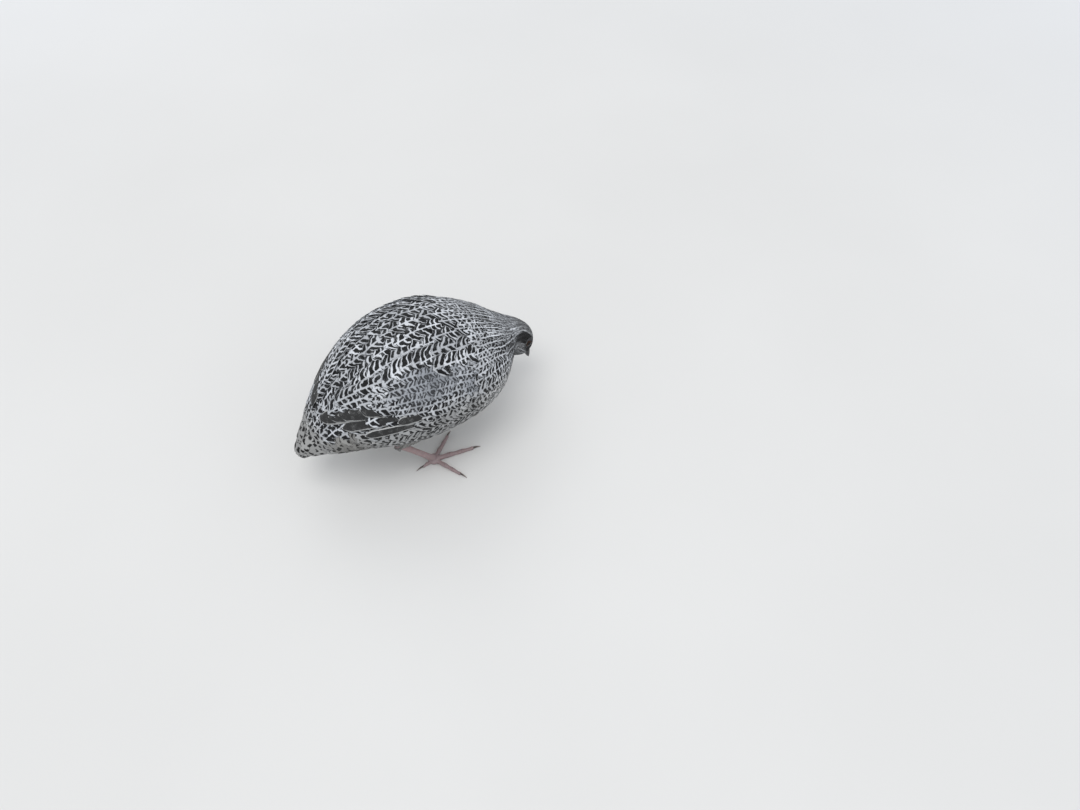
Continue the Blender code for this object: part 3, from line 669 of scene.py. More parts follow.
def feathers(name, surface, flock, material, rows=13, columns=9, kind="round", barbs=0):
    """One joined mesh of closed vanes. flock gives an array for each named number."""
    count = len(flock["place"])
    chance = np.random.default_rng(SEED + count)
    j = np.arange(rows) / (rows - 1)
    share = (1.0 - (1.0 - j) ** 1.5)[None, :, None]
    across = np.linspace(-1.0, 1.0, columns)[None, None, :]
    flock = {"fray": np.full(count, 0.8), **flock}
    col = {
        key: np.asarray(values, float)[:, None, None]
        for key, values in flock.items() if key not in ("marks", "tone")
    }
    shape = (count, rows, columns)
    at_edge = np.abs(across) > 0.9
    ragged = 1.0 + chance.normal(0.0, 0.022, shape) * at_edge
    notch = (chance.random((count, rows, 1)) < 0.05) * at_edge * 0.14
    notch = notch * (chance.random((count, 1, columns)) < 0.6)
    half = col["half"] * outline_form(kind, share)
    aside = half * across * (ragged - notch)
    bend = 0.30 * col["half"] * across ** 2 * share ** 2
    roll = chance.normal(0.0, 0.14, (count, 1, 1))
    curl = chance.normal(0.0, 0.10, (count, 1, 1))
    height = arch(col, share, across, roll, curl)
    points, length = lay_out(surface, col, share + 0 * across, aside, height, bend)
    points = points.reshape(-1, 3)

    # Faces: a grid above, a strip below that closes the vane from rim to rim, and its ends
    base = (np.arange(count) * rows * columns)[:, None]
    r, c = np.meshgrid(np.arange(rows - 1), np.arange(columns - 1), indexing="ij")
    a = (r * columns + c).reshape(-1)
    grid = np.stack([a, a + 1, a + 1 + columns, a + columns], -1)
    top = (base[:, :, None] + grid[None]).reshape(-1, 4)
    first = np.arange(rows - 1) * columns
    last = first + columns - 1
    strip = np.stack([last, first, first + columns, last + columns], -1)
    under = (base[:, :, None] + strip[None]).reshape(-1, 4)
    ends, tail = [], (rows - 1) * columns
    for k in range(columns - 2):
        ends.append((0, k + 2, k + 1))
        ends.append((tail, tail + k + 1, tail + k + 2))
    caps = (base[:, :, None] + np.array(ends)[None]).reshape(-1, 3)

    lie = np.broadcast_to(np.stack(np.broadcast_arrays(across, share, col["chance"]), -1), (*shape, 3))
    lie = lie.reshape(-1, 3)
    owner = np.repeat(np.arange(count), rows * columns)
    run = length.mean(axis=(1, 2))
    widths = np.broadcast_to(half, shape).reshape(-1)
    if barbs:
        more, loose, more_lie, more_owner = fringe(
            surface, flock, col, kind, roll, curl, chance, barbs,
        )
        caps = np.concatenate([caps, loose + len(points)])
        points, lie = np.concatenate([points, more]), np.concatenate([lie, more_lie])
        owner = np.concatenate([owner, more_owner])
        rim = flock["half"][more_owner] * outline_form(kind, more_lie[:, 1])
        widths = np.concatenate([widths, rim])
    attributes = {
        "lie": lie,
        "span": np.stack([widths, run[owner], flock["warm"][owner]], -1),
        "marks": np.asarray(flock["marks"])[owner],
        "tone": np.asarray(flock["tone"])[owner],
    }
    along, beside = np.clip(lie[:, 1], 0.0, 1.0), (np.clip(lie[:, 0], -1.0, 1.0) + 1.0) / 2
    uv = np.stack([
        flock["cell_u"][owner] + flock["cell_w"][owner] * (0.04 + 0.92 * along),
        flock["cell_v"][owner] + flock["cell_h"][owner] * (0.04 + 0.92 * beside),
    ], -1)
    quads = np.concatenate([top, under])
    return new_object(name, points, quads, caps, material, attributes, uv)


def in_patches(place, angle, patches):
    """1 at the middle of each oval patch of the body and 0 outside them."""
    best = 0.0
    for at_place, at_angle, wide, tall in patches:
        off = ((place - at_place) / wide) ** 2 + ((angle - at_angle) / tall) ** 2
        best = np.maximum(best, np.clip(1.0 - off, 0.0, 1.0) ** 0.8)
    return best


def as_flock(**values):
    """Numbers for each feather of a flock. A single number stands for all its feathers."""
    n = len(values["place"])
    return {key: value if np.ndim(value) else np.full(n, float(value)) for key, value in values.items()}


def threes(n, *values):
    """Three numbers for each of n feathers, each given as an array or as one number for all."""
    return np.stack([np.broadcast_to(value, n) for value in values], -1)


def region_looks(place, angle, chance):
    """Marks, shades and warmth of feathers at these places and angles on the body."""
    place, angle = np.asarray(place, float), np.asarray(angle, float)
    n = len(place)
    upper = bump(angle, 0.0, 400.0, 26.0)
    breast = bump(place, 4.7, 40.0, 0.8)
    mantle = bump(place, 5.1, 40.0, 0.7) * bump(angle, 22.0, 400.0, 26.0)
    neck = bump(place, 6.3, 40.0, 1.0)
    head = bump(place, 8.2, 40.0, 0.9)
    tail = bump(-place, -0.6, 40.0, 0.9)
    rump = bump(-place, -1.9, 40.0, 1.0) * bump(angle, 44.0, 400.0, 14.0)
    under = bump(-angle, 26.0, 400.0, 26.0)
    vent = bump(-place, -1.9, 40.0, 0.9) * bump(-angle, -38.0, 400.0, 14.0)
    # The lower half's pale is darker than the upper half's: painted shade on the underside
    looks = {
        "period": blend_to(4.5, 4.3, upper), "share": blend_to(0.50, 0.27, upper),
        "streak": blend_to(0.34, 0.44, upper), "edge": blend_to(0.50, 0.40, upper),
        "dark": blend_to(0.018, 0.010, upper), "pale": blend_to(0.42, 0.60, upper),
        "warm": blend_to(0.15, -0.12, upper),
    }

    def turn_to(amount, **wanted):
        for key, value in wanted.items():
            looks[key] = blend_to(looks[key], value, amount)

    # Commas in a white net on the breast, streaks on the mantle, fine streaks on the head
    turn_to(breast, period=3.4, share=0.36, streak=0.30, edge=0.46)
    # The breast's pale rises except underneath, where the darker pale stays as painted shade
    turn_to(breast * (1 - under), pale=0.58)
    turn_to(mantle, share=0.02, streak=0.40, edge=0.42, pale=0.60)
    turn_to(neck, share=0.02, streak=0.28, edge=0.26, dark=0.020, pale=0.46)
    turn_to(head, streak=0.15, edge=0.12, dark=0.026, pale=0.34, warm=0.0)

    # More black on the rump, pale grey with a few spots on the tail, plain grey at the vent
    turn_to(rump, share=0.22, pale=0.52, edge=0.36)
    turn_to(under, share=0.80, warm=0.35)
    turn_to(vent, period=5.4, share=0.62, dark=0.03, pale=0.27, edge=0.6, streak=0.4, warm=0.42)
    turn_to(tail, period=4.6, share=0.46, streak=0.55, edge=0.55, pale=0.38, warm=0.22)
    vary = chance.uniform
    marks = threes(
        n,
        looks["period"] * vary(0.85, 1.15, n),
        looks["share"] * vary(0.75, 1.25, n),
        looks["streak"] * vary(0.7, 1.3, n),
    )
    tone = threes(
        n,
        looks["dark"] * vary(0.8, 1.3, n),
        looks["pale"] * vary(0.9, 1.08, n),
        looks["edge"] * vary(0.6, 1.35, n),
    )
    return marks, tone, looks["warm"] + 0.0 * place


def growth(place):
    """Bare length, width wanted and depth of the coat at a place."""
    return [np.interp(place, GROWTH[:, 0], GROWTH[:, k]) for k in (1, 2, 3)]


def body_columns(chance):
    """Roots of the body's feathers, in columns from the face to the rump."""
    found = []
    for k in range(COLUMNS):
        turn = -90.0 + 360.0 * (k + 0.5) / COLUMNS
        place = FACE + 0.30 - (0.02 if k % 2 else 0.0)
        order = 0
        while place > COLUMNS_END:
            bare, wanted, depth = growth(place)
            mm_place, mm_turn = steps_of(on_body, np.array(place), np.array(turn), 0.0)
            spacing = mm_turn * 360.0 / COLUMNS
            thinned = 2 ** max(0, round(math.log2(wanted / spacing)))
            if k % thinned == 0:
                found.append((place, turn, k, order, spacing * thinned, bare, depth))
            stagger = 0.5 if order == 0 and k % 2 else 1.0
            place = place - stagger * bare * chance.uniform(0.92, 1.08) / mm_place
            order += 1
    return np.array(found)


def body_flock(chance):
    """Every feather of the body and head, with its size, height and marks."""
    rows = body_columns(chance)
    place, turn, k, order, spacing, bare, depth = rows.T
    n = len(rows)
    mm_place, mm_turn = steps_of(on_body, place, turn, 0.0)
    turn = turn + chance.normal(0.0, 0.10, n) * spacing / mm_turn
    length = bare * OVERLAP * chance.uniform(0.92, 1.12, n)
    to_place = place - length / mm_place
    to_turn = turn + chance.normal(0.0, 0.10, n) * spacing / mm_turn
    angle, to_angle = side_angle(turn), side_angle(to_turn)
    middle = place * 0.4 + to_place * 0.6
    marks, tone, warm = region_looks(middle, to_angle, chance)
    lifted = WING_RISE * over_wing(to_place, to_angle, 9.0, 13.0)
    lifted_root = WING_RISE * over_wing(place, angle, 9.0, 13.0)
    scale = depth / 1.7

    # Streaks on the head run from feather to feather, and its feathers lie flatter
    on_head = bump(middle, 7.4, 40.0, 1.0)
    streaky = np.sin(k * 2.4 + order * 0.3) * 0.42 + chance.uniform(-0.18, 0.18, n)
    tone[:, 1] *= 1.0 + on_head * streaky
    return as_flock(
        place=place, turn=turn, to_place=to_place, to_turn=to_turn,
        half=np.maximum(0.84 * spacing, 0.50) * chance.uniform(0.88, 1.10, n),
        low=-depth * (0.95 - 0.45 * on_head) + lifted_root * 0.8, high=0.05 + lifted,
        crown=0.34 * scale, chance=chance.random(n), warm=warm,
        marks=marks, tone=tone, column=k, order=order, fray=0.85 * scale,
    )


def keep(flock, chosen):
    return {key: values[chosen] for key, values in flock.items()}


def cells_by_grid(flock):
    """A patch of the bake map for each feather, in the order they lie on the unwrapped skin."""
    columns, column_index = np.unique(flock["column"], return_inverse=True)
    order = flock["order"] - flock["order"].min()
    wide = order.max() + 1
    n = len(order)
    flock["cell_u"] = 1.0 - (order + 1) / wide
    flock["cell_v"] = column_index / len(columns)
    flock["cell_w"] = np.full(n, 1.0 / wide)
    flock["cell_h"] = np.full(n, 1.0 / len(columns))
    return flock


def short_of_eyes(flock):
    """Ends the feathers in front of an eye at its lids, and drops those rooted on it."""
    to_place, to_turn = flock["to_place"].copy(), flock["to_turn"].copy()
    reached = np.ones(len(to_place))
    for share in np.linspace(1.0, 0.0, 21):
        place = flock["place"] + (to_place - flock["place"]) * share
        turn = flock["turn"] + (to_turn - flock["turn"]) * share
        points = on_body(place, turn, 0.0)
        for side in (-1, 1):
            gap = np.linalg.norm((points - eye_centre(side))[:, [0, 2]], axis=1)
            inside = (gap < EYE_ROOM) & (points[:, 1] * side > 0)
            reached = np.where(inside, np.minimum(reached, share), reached)
    flock["to_place"] = flock["place"] + (to_place - flock["place"]) * reached
    flock["to_turn"] = flock["turn"] + (to_turn - flock["turn"]) * reached
    return keep(flock, reached > 0.3)


def eye_ring(chance):
    """Tiny feathers that fan out from behind the lids of both eyes."""
    _, ahead, up = head_axes()
    grid_place, grid_turn = np.meshgrid(np.linspace(8.6, FACE, 120), np.linspace(-30.0, 85.0, 150))
    grid = on_body(grid_place, grid_turn, 0.0)
    rows = []
    for side in (-1, 1):
        centre = eye_centre(side)
        for k in range(EYE_RING_FEATHERS):
            turn = 2 * math.pi * (k + chance.uniform(-0.3, 0.3)) / EYE_RING_FEATHERS
            way = ahead * math.cos(turn) + up * math.sin(turn)
            lie = way * 0.55 - ahead * 0.85
            ends = []
            start = 2.45 + (0.9 if math.cos(turn) > 0.3 else 0.0)
            for point in (centre + way * start, centre + way * start + lie * 1.5):
                gap = (grid[..., 0] - point[0]) ** 2 + (grid[..., 2] - point[2]) ** 2
                best = np.unravel_index(np.argmin(gap), gap.shape)
                ends.extend((grid_place[best], turn_on(side, grid_turn[best])))
            rows.append(ends)
    place, turn, to_place, to_turn = np.array(rows).T
    n = len(place)
    marks = threes(n, 3.0, -1.0, chance.uniform(0.04, 0.12, n))
    tone = threes(n, 0.016, chance.uniform(0.08, 0.22, n), 0.04)
    return as_flock(
        place=place, turn=turn, to_place=to_place, to_turn=to_turn,
        half=0.36, low=0.0, high=0.30, crown=0.08, chance=chance.random(n), warm=0.0,
        marks=marks, tone=tone, column=np.arange(n) % 12, order=np.arange(n) // 12, fray=0.1,
    )


def face_shades(flock):
    """Darkens the patch round each eye and the lores, dark plumage darkened further as painted shadow,
    darkens the crown, pales the brow over them, and darkens the chin as painted shade.
    """
    place, angle = flock["to_place"], side_angle(flock["to_turn"])
    # Dark plumage round the eyes and lores, with painted shadow on the lowered face added to it
    dark_face_and_shade = np.clip(in_patches(place, angle, DARK_FACE_AND_SHADE) * 1.7, 0.0, 1.0)
    over_eye = angle - (BROW_ANGLE - BROW_FALL * (place - BROW_PLACE))
    brow = bump(over_eye, -6.0, 6.0, 4.0) * bump(place, 6.2, 13.2, 0.8)
    crown = bump(over_eye, 7.0, 400.0, 8.0) * bump(place, 7.0, 40.0, 1.0)
    # Painted shade under the chin
    chin_shade = bump(-angle, 5.0, 400.0, 20.0) * bump(place, 8.5, 40.0, 1.2)
    marks, tone = flock["marks"], flock["tone"]
    tone[:, 0] *= (1.0 - 0.78 * dark_face_and_shade) * (1.0 - 0.3 * crown)
    tone[:, 1] *= (1.0 - 0.92 * dark_face_and_shade) * (1.0 + 0.15 * brow) * (1.0 - 0.25 * crown) * (1.0 - 0.30 * chin_shade)
    marks[:, 2] *= 1.0 + 0.3 * brow
    return flock


def covered_by_wing(flock):
    """Which body feathers lie wholly under the folded wing."""
    middle = flock["place"] * 0.35 + flock["to_place"] * 0.65
    angle = side_angle(flock["turn"])
    share = wing_share(middle)
    low, high = wing_edges(share)
    inside = (angle > low + 5.0) & (angle < high - 9.0)
    return inside & (share > 0.10) & (share < 0.93)


def tube_faces(rings, around):
    """Quads between rings of points, and triangles that close both ends."""
    quads, caps = [], []
    for i in range(rings - 1):
        for j in range(around):
            k = (j + 1) % around
            quads.append((i * around + j, i * around + k, (i + 1) * around + k, (i + 1) * around + j))
    last = (rings - 1) * around
    for j in range(1, around - 1):
        caps.append((0, j + 1, j))
        caps.append((last, last + j, last + j + 1))
    return np.array(quads), np.array(caps)


def build_skin(material, tree, looks):
    """One closed skin: tail core, body, neck and head, and a thigh on each side."""
    around = 56
    turns = -90.0 + 360.0 * np.arange(around) / around
    rings = []
    for place in np.linspace(-2.1, FACE + 0.34, 106):
        depth = growth(place)[2]
        rings.append(on_body(np.full(around, place), turns, -1.12 * depth - 0.15))
    made = new_object("skin", np.concatenate(rings), *tube_faces(len(rings), around), material)
    for side in (-1, 1):
        thigh = thigh_form(side, -1.2, 20)
        join = made.modifiers.new("join", "BOOLEAN")
        join.operation = "UNION"
        join.solver = "EXACT"
        join.object = thigh
        graph = bpy.context.evaluated_depsgraph_get()
        mesh = bpy.data.meshes.new_from_object(made.evaluated_get(graph))
        made.modifiers.clear()
        made.data = mesh
        bpy.data.objects.remove(thigh)
    made.data.shade_smooth()
    under = np.zeros((len(made.data.vertices), 3))
    for i, vertex in enumerate(made.data.vertices):
        under[i] = looks[tree.find(vertex.co)[1]]
    layer = made.data.attributes.new("under", "FLOAT_VECTOR", "POINT")
    layer.data.foreach_set("vector", under.astype(np.float32).reshape(-1))
    return made


def mirrored(point, side):
    return np.array([point[0] + SHIFT, side * point[1], point[2]])


def thigh_path(side):
    knee, hock = mirrored(KNEE, side), mirrored(HOCK, side)
    shares = np.array([-0.35, -0.2, 0.0, 0.3, 0.6, 0.85, 1.0, 1.08])
    girths = np.array([0.3, 0.7, 0.95, 1.0, 0.8, 0.52, 0.34, 0.2])
    return shares, np.array([knee + (hock - knee) * s for s in shares]), THIGH_RADIUS * girths


def on_thigh(side):
    """A surface for the thigh's feathers: place 0 at the hock to 1 at the knee, a turn round it."""
    shares, path, radii = thigh_path(side)
    along = path[-1] - path[0]
    along = along / np.linalg.norm(along)
    aside = np.cross(along, (0.0, 0.0, 1.0))
    aside = aside / np.linalg.norm(aside)
    over = np.cross(aside, along)

    def surface(place, turn, out):
        share = 1.0 - np.asarray(place, float)
        knee, hock = mirrored(KNEE, side), mirrored(HOCK, side)
        radius = np.interp(share, shares, radii) + out
        angle = np.radians(turn)
        centre = knee + (hock - knee) * share[..., None]
        ring = aside * np.cos(angle)[..., None] + over * np.sin(angle)[..., None]
        return centre + ring * radius[..., None]

    return surface


def limb_mesh(name, path, radii, around, material, relief=None, squash=1.0, flat=True):
    """A closed limb along a path, with its own radius at each point and a relief on it."""
    path = np.asarray(path, float)
    ways = np.gradient(path, axis=0)
    ways = ways / np.linalg.norm(ways, axis=1, keepdims=True)
    aside = np.cross(ways, (0.0, 0.0, 1.0))
    aside = aside / np.linalg.norm(aside, axis=1, keepdims=True)
    over = np.cross(aside, ways)
    angles = 2 * math.pi * np.arange(around) / around
    relief = np.zeros((len(path), around)) if relief is None else relief
    radius = np.asarray(radii, float)[:, None] + relief
    ring = (
        aside[:, None, :] * np.cos(angles)[None, :, None] * squash
        + over[:, None, :] * np.sin(angles)[None, :, None]
    )
    points = (path[:, None, :] + ring * radius[..., None]).reshape(-1, 3)
    if flat:
        points[:, 2] = np.maximum(points[:, 2], 0.0)
    share = np.linspace(0.0, 1.0, len(path))
    tall = np.ptp(relief) or 1.0
    lie = np.stack([
        np.broadcast_to(np.cos(angles)[None], relief.shape),
        np.broadcast_to(share[:, None], relief.shape),
        (relief - relief.min()) / tall if np.ptp(relief) else np.ones_like(relief),
    ], -1)
    faces = tube_faces(len(path), around)
    return new_object(name, points, *faces, material, {"lie": lie.reshape(-1, 3)})


def thigh_form(side, grown, around):
    """The thigh's flesh as one closed form, this much wider than its girth."""
    shares, _, radii = thigh_path(side)
    finer = np.linspace(shares[0], shares[-1] - 0.03, 16)
    knee, hock = mirrored(KNEE, side), mirrored(HOCK, side)
    line = [knee + (hock - knee) * s for s in finer]
    girth = np.maximum(np.interp(finer, shares, radii) + grown, 0.8)
    return limb_mesh("thigh_form", line, girth, around, None, flat=False)


def joined(name, pieces):
    """Joins the pieces into one object of this name."""
    for thing in bpy.context.scene.objects:
        thing.select_set(False)
    for piece in pieces:
        piece.select_set(True)
    bpy.context.view_layer.objects.active = pieces[0]
    chosen = {"selected_objects": pieces, "selected_editable_objects": pieces}
    with bpy.context.temp_override(active_object=pieces[0], object=pieces[0], **chosen):
        bpy.ops.object.join()
    pieces[0].name = name
    pieces[0].data.name = name
    return pieces[0]


def scutes(count, around, shares, height, front_only=True):
    """Relief of overlapping plates along a limb: a step at each plate, mostly on its front."""
    saw = (shares * count) % 1.0
    plate = np.where(saw < 0.12, saw / 0.12, 1.0 - 0.35 * (saw - 0.12) / 0.88)
    angles = 2 * math.pi * np.arange(around) / around
    facing = np.clip(0.55 + 0.75 * np.sin(angles), 0.15, 1.0) if front_only else np.ones(around)
    return (plate[:, None] - 1.0) * height * facing[None, :]


def foot_centre(side):
    return np.array([FOOT_X + SHIFT, side * FOOT_Y, 0.0])


def toe_way(side, angle):
    turn = math.radians(side * (FOOT_TURN + angle))
    return np.array([math.cos(turn), math.sin(turn), 0.0])


def leg(side, skin, horn):
    """Shank, foot and toes of one side in one piece, and its claws in another."""
    word = "left" if side > 0 else "right"
    hock = mirrored(HOCK, side)
    ankle = foot_centre(side) + np.array([0.0, 0.0, PAD_HEIGHT * 0.5])
    shares = np.linspace(-0.06, 1.0, 110)
    girth = SHANK_RADIUS * np.interp(shares, *SHANK_GIRTH)
    path = [hock + (ankle - hock) * s for s in shares]
    plates = scutes(17, 28, shares - shares[0], 0.26)
    pieces = [limb_mesh("shank", path, girth, 28, skin, plates, 0.86)]
    centre = foot_centre(side)
    heights = np.linspace(-0.98, 0.98, 15)
    ball_path = [centre + np.array([0.0, 0.0, PAD_HEIGHT * 0.42 + PAD_HEIGHT / 2 * h]) for h in heights]
    pad_radii = PAD_RADIUS * np.sqrt(1.0 - heights ** 2)
    pieces.append(upright(ball_path, pad_radii, skin))
    claws = []
    for name, angle, length, radius in TOES:
        way = toe_way(side, angle)
        joints = 2 if name == "hind" else 3
        shares = np.linspace(0.0, 1.0, 26 * joints + 1)
        taper = (1.0 - 0.38 * shares) * (1.0 + 0.09 * np.cos(2 * math.pi * joints * shares))
        radii = radius * taper
        radii[-1] *= 0.86
        arch = 0.5 * np.sin(math.pi * shares) ** 2
        start = 0.6 * PAD_RADIUS
        line = [
            centre + way * (start + (length - start) * s) + np.array([0.0, 0.0, r * 0.86 + a * 0.15])
            for s, r, a in zip(shares, radii, arch)
        ]
        relief = scutes(5.0 * joints, 20, shares, 0.20)
        pieces.append(limb_mesh("toe", line, radii, 20, skin, relief))
        thin = radii[-1] * 0.86
        s = np.linspace(0.0, 1.0, 18)
        heights = np.interp(s, CLAW_FORM[0], CLAW_FORM[1])
        heights = np.convolve(np.pad(heights, 2, mode="edge"), np.ones(5) / 5, mode="valid")
        girths = thin * np.interp(s, CLAW_FORM[0], CLAW_FORM[2])
        root = centre + way * (length - 0.5)
        line = [
            root + way * (CLAW_LENGTH + 0.8) * t + np.array([0.0, 0.0, h])
            for t, h in zip(s, heights)
        ]
        claws.append(limb_mesh("claw", line, girths, 14, horn, squash=0.8))
    whole = joined(f"leg_{word}", pieces)
    nails = joined(f"claws_{word}", claws)
    dress(whole, "leg_skin", f"shank_{word}", f"foot_{word}", *[f"toe_{word}_{t[0]}" for t in TOES])
    dress(nails, "horn", *[f"claw_{word}_{t[0]}" for t in TOES])


def upright(path, radii, material, around=28):
    """A round form on a vertical path, flat where it would pass the floor."""
    angles = 2 * math.pi * np.arange(around) / around
    path = np.array(path)
    ring = np.stack([np.cos(angles), np.sin(angles), 0 * angles], -1)
    points = (path[:, None, :] + ring[None] * np.asarray(radii)[:, None, None]).reshape(-1, 3)
    points[:, 2] = np.maximum(points[:, 2], 0.0)
    lie = np.ones((len(points), 3))
    return new_object("pad", points, *tube_faces(len(path), around), material, {"lie": lie})


def dress(piece, slot, *nodes):
    """Sets the piece on the body and hides the nodes that it stands for. The slot is not used."""
    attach(piece, "root")
    if nodes:
        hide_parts(*nodes)
    return piece


def eye(side, wet, lid):
    """The eyeball with its bulging cornea, and the bare rim of the lids round it."""
    word = "left" if side > 0 else "right"
    _, ahead, up = head_axes()
    centre, out = eye_centre(side), np.array([0.0, side, 0.0])
    around, rings = 48, 36
    points, lie = [], []
    for i in range(rings + 1):
        down = math.pi * i / rings
        bulge = 0.10 * math.exp(-(down / 0.42) ** 2)
        for j in range(around):
            turn = 2 * math.pi * j / around
            way = ahead * math.cos(turn) + up * math.sin(turn)
            radius = EYE_RADIUS * (1.0 + bulge * 0.25)
            points.append(centre + radius * (out * math.cos(down) + way * max(math.sin(down), 1e-3)))
            lie.append((math.cos(turn), math.sin(down) if down < math.pi / 2 else 1.0, math.sin(turn)))
    quads = []
    for i in range(rings):
        for j in range(around):
            k = (j + 1) % around
            quad = (i * around + j, (i + 1) * around + j, (i + 1) * around + k, i * around + k)
            quads.append(quad if side < 0 else quad[::-1])
    lie = {"lie": np.array(lie)}
    ball = new_object(f"eyeball_{word}", np.array(points), np.array(quads), None, wet, lie)
    outward(ball)
    dress(ball, "eye", f"eye_{word}")
    ring = lid_shell(centre, ahead, up, out, lid)
    ring.name = ring.data.name = f"lids_{word}"
    dress(ring, "plumage")


def lid_shell(centre, ahead, up, out, lid):
    """Both lids: a shell on the eyeball with an opening longer than it is high."""
    around = 72
    profile = [(0.0, 0.04), (0.0, 0.20), (0.10, 0.34), (0.28, 0.36), (0.5, 0.26), (1.0, 0.22), (1.0, 0.04)]
    points, lie, quads = [], [], []
    for i in range(around):
        turn = 2 * math.pi * i / around
        open_by = 1.0 / math.hypot(math.cos(turn) / LID_OPEN[0], math.sin(turn) / LID_OPEN[1])
        wrinkle = 0.03 * math.sin(18 * turn) + 0.02 * math.sin(31 * turn + 1.0)
        way = ahead * math.cos(turn) + up * math.sin(turn)
        for share, rise in profile:
            down = math.radians(open_by + (LID_OUT - open_by) * share)
            radius = EYE_RADIUS + rise * (1.0 + wrinkle * 4.0)
            points.append(centre + radius * (out * math.cos(down) + way * math.sin(down)))
            lie.append((math.cos(turn), math.sin(turn), share))
    sides = len(profile)
    for i in range(around):
        for k in range(sides):
            a, b = i * sides + k, i * sides + (k + 1) % sides
            c = ((i + 1) % around) * sides
            quads.append((a, b, c + (k + 1) % sides, c + k))
    made = new_object("lids", np.array(points), np.array(quads), None, lid, {"lie": np.array(lie)})
    return outward(made)


def outward(piece):
    """Makes the normals of a closed mesh point out."""
    work = bmesh.new()
    work.from_mesh(piece.data)
    bmesh.ops.recalc_face_normals(work, faces=work.faces)
    work.to_mesh(piece.data)
    work.free()
    return piece


def mandible(upper, horn):
    """Half-round rings from the face to the tip, flat along the line of the mouth."""
    face, ahead, up = head_axes()
    known = np.array([0.0, 0.22, 0.45, 0.66, 0.83, 0.94, 1.0])
    widths = np.array([1.0, 0.94, 0.76, 0.55, 0.34, 0.18, 0.07])
    heights = np.array([1.0, 0.95, 0.82, 0.62, 0.42, 0.24, 0.10])
    length = BILL_LENGTH if upper else BILL_LENGTH * 0.93
    tall, way = (CULMEN, 1.0) if upper else (GONYS, -1.0)
    shares = np.linspace(-0.08, 1.0, 44)
    sides = 25
    points, lie = [], []
    for share in shares:
        wide, high = np.interp(share, known, widths), np.interp(share, known, heights)
        run = length * share
        droop = BILL_DROOP * run * run
        centre = face + ahead * (run + 0.35) + up * (way * 0.12 - droop)
        for k in range(sides):
            a = math.pi * k / (sides - 1)
            width = BILL_HALF_WIDTH * wide * math.cos(a)
            ridge = 1.0 + 0.05 * math.exp(-((a - math.pi / 2) / 0.28) ** 2)
            height = tall * high * math.sin(a) * ridge
            if upper:
                flap = math.exp(-((run - 3.6) / 1.5) ** 2 - ((height - 1.75) / 0.8) ** 2)
                slit = math.exp(-((run - 4.0) / 1.0) ** 2 - ((height - 1.0) / 0.30) ** 2)
                width = width + math.copysign(0.45 * flap - 0.55 * slit, math.cos(a))
            points.append(centre + np.array([0.0, 1.0, 0.0]) * width + up * way * height)
            lie.append((math.cos(a), max(share, 0.0), way))
    name = "mandible_upper" if upper else "mandible_lower"
    faces = tube_faces(len(shares), sides)
    made = new_object(name, np.array(points), *faces, horn, {"lie": np.array(lie)})
    made.data.set_sharp_from_angle(angle=math.radians(50))
    outward(made)
    return dress(made, "horn", "bill_upper" if upper else "bill_lower")


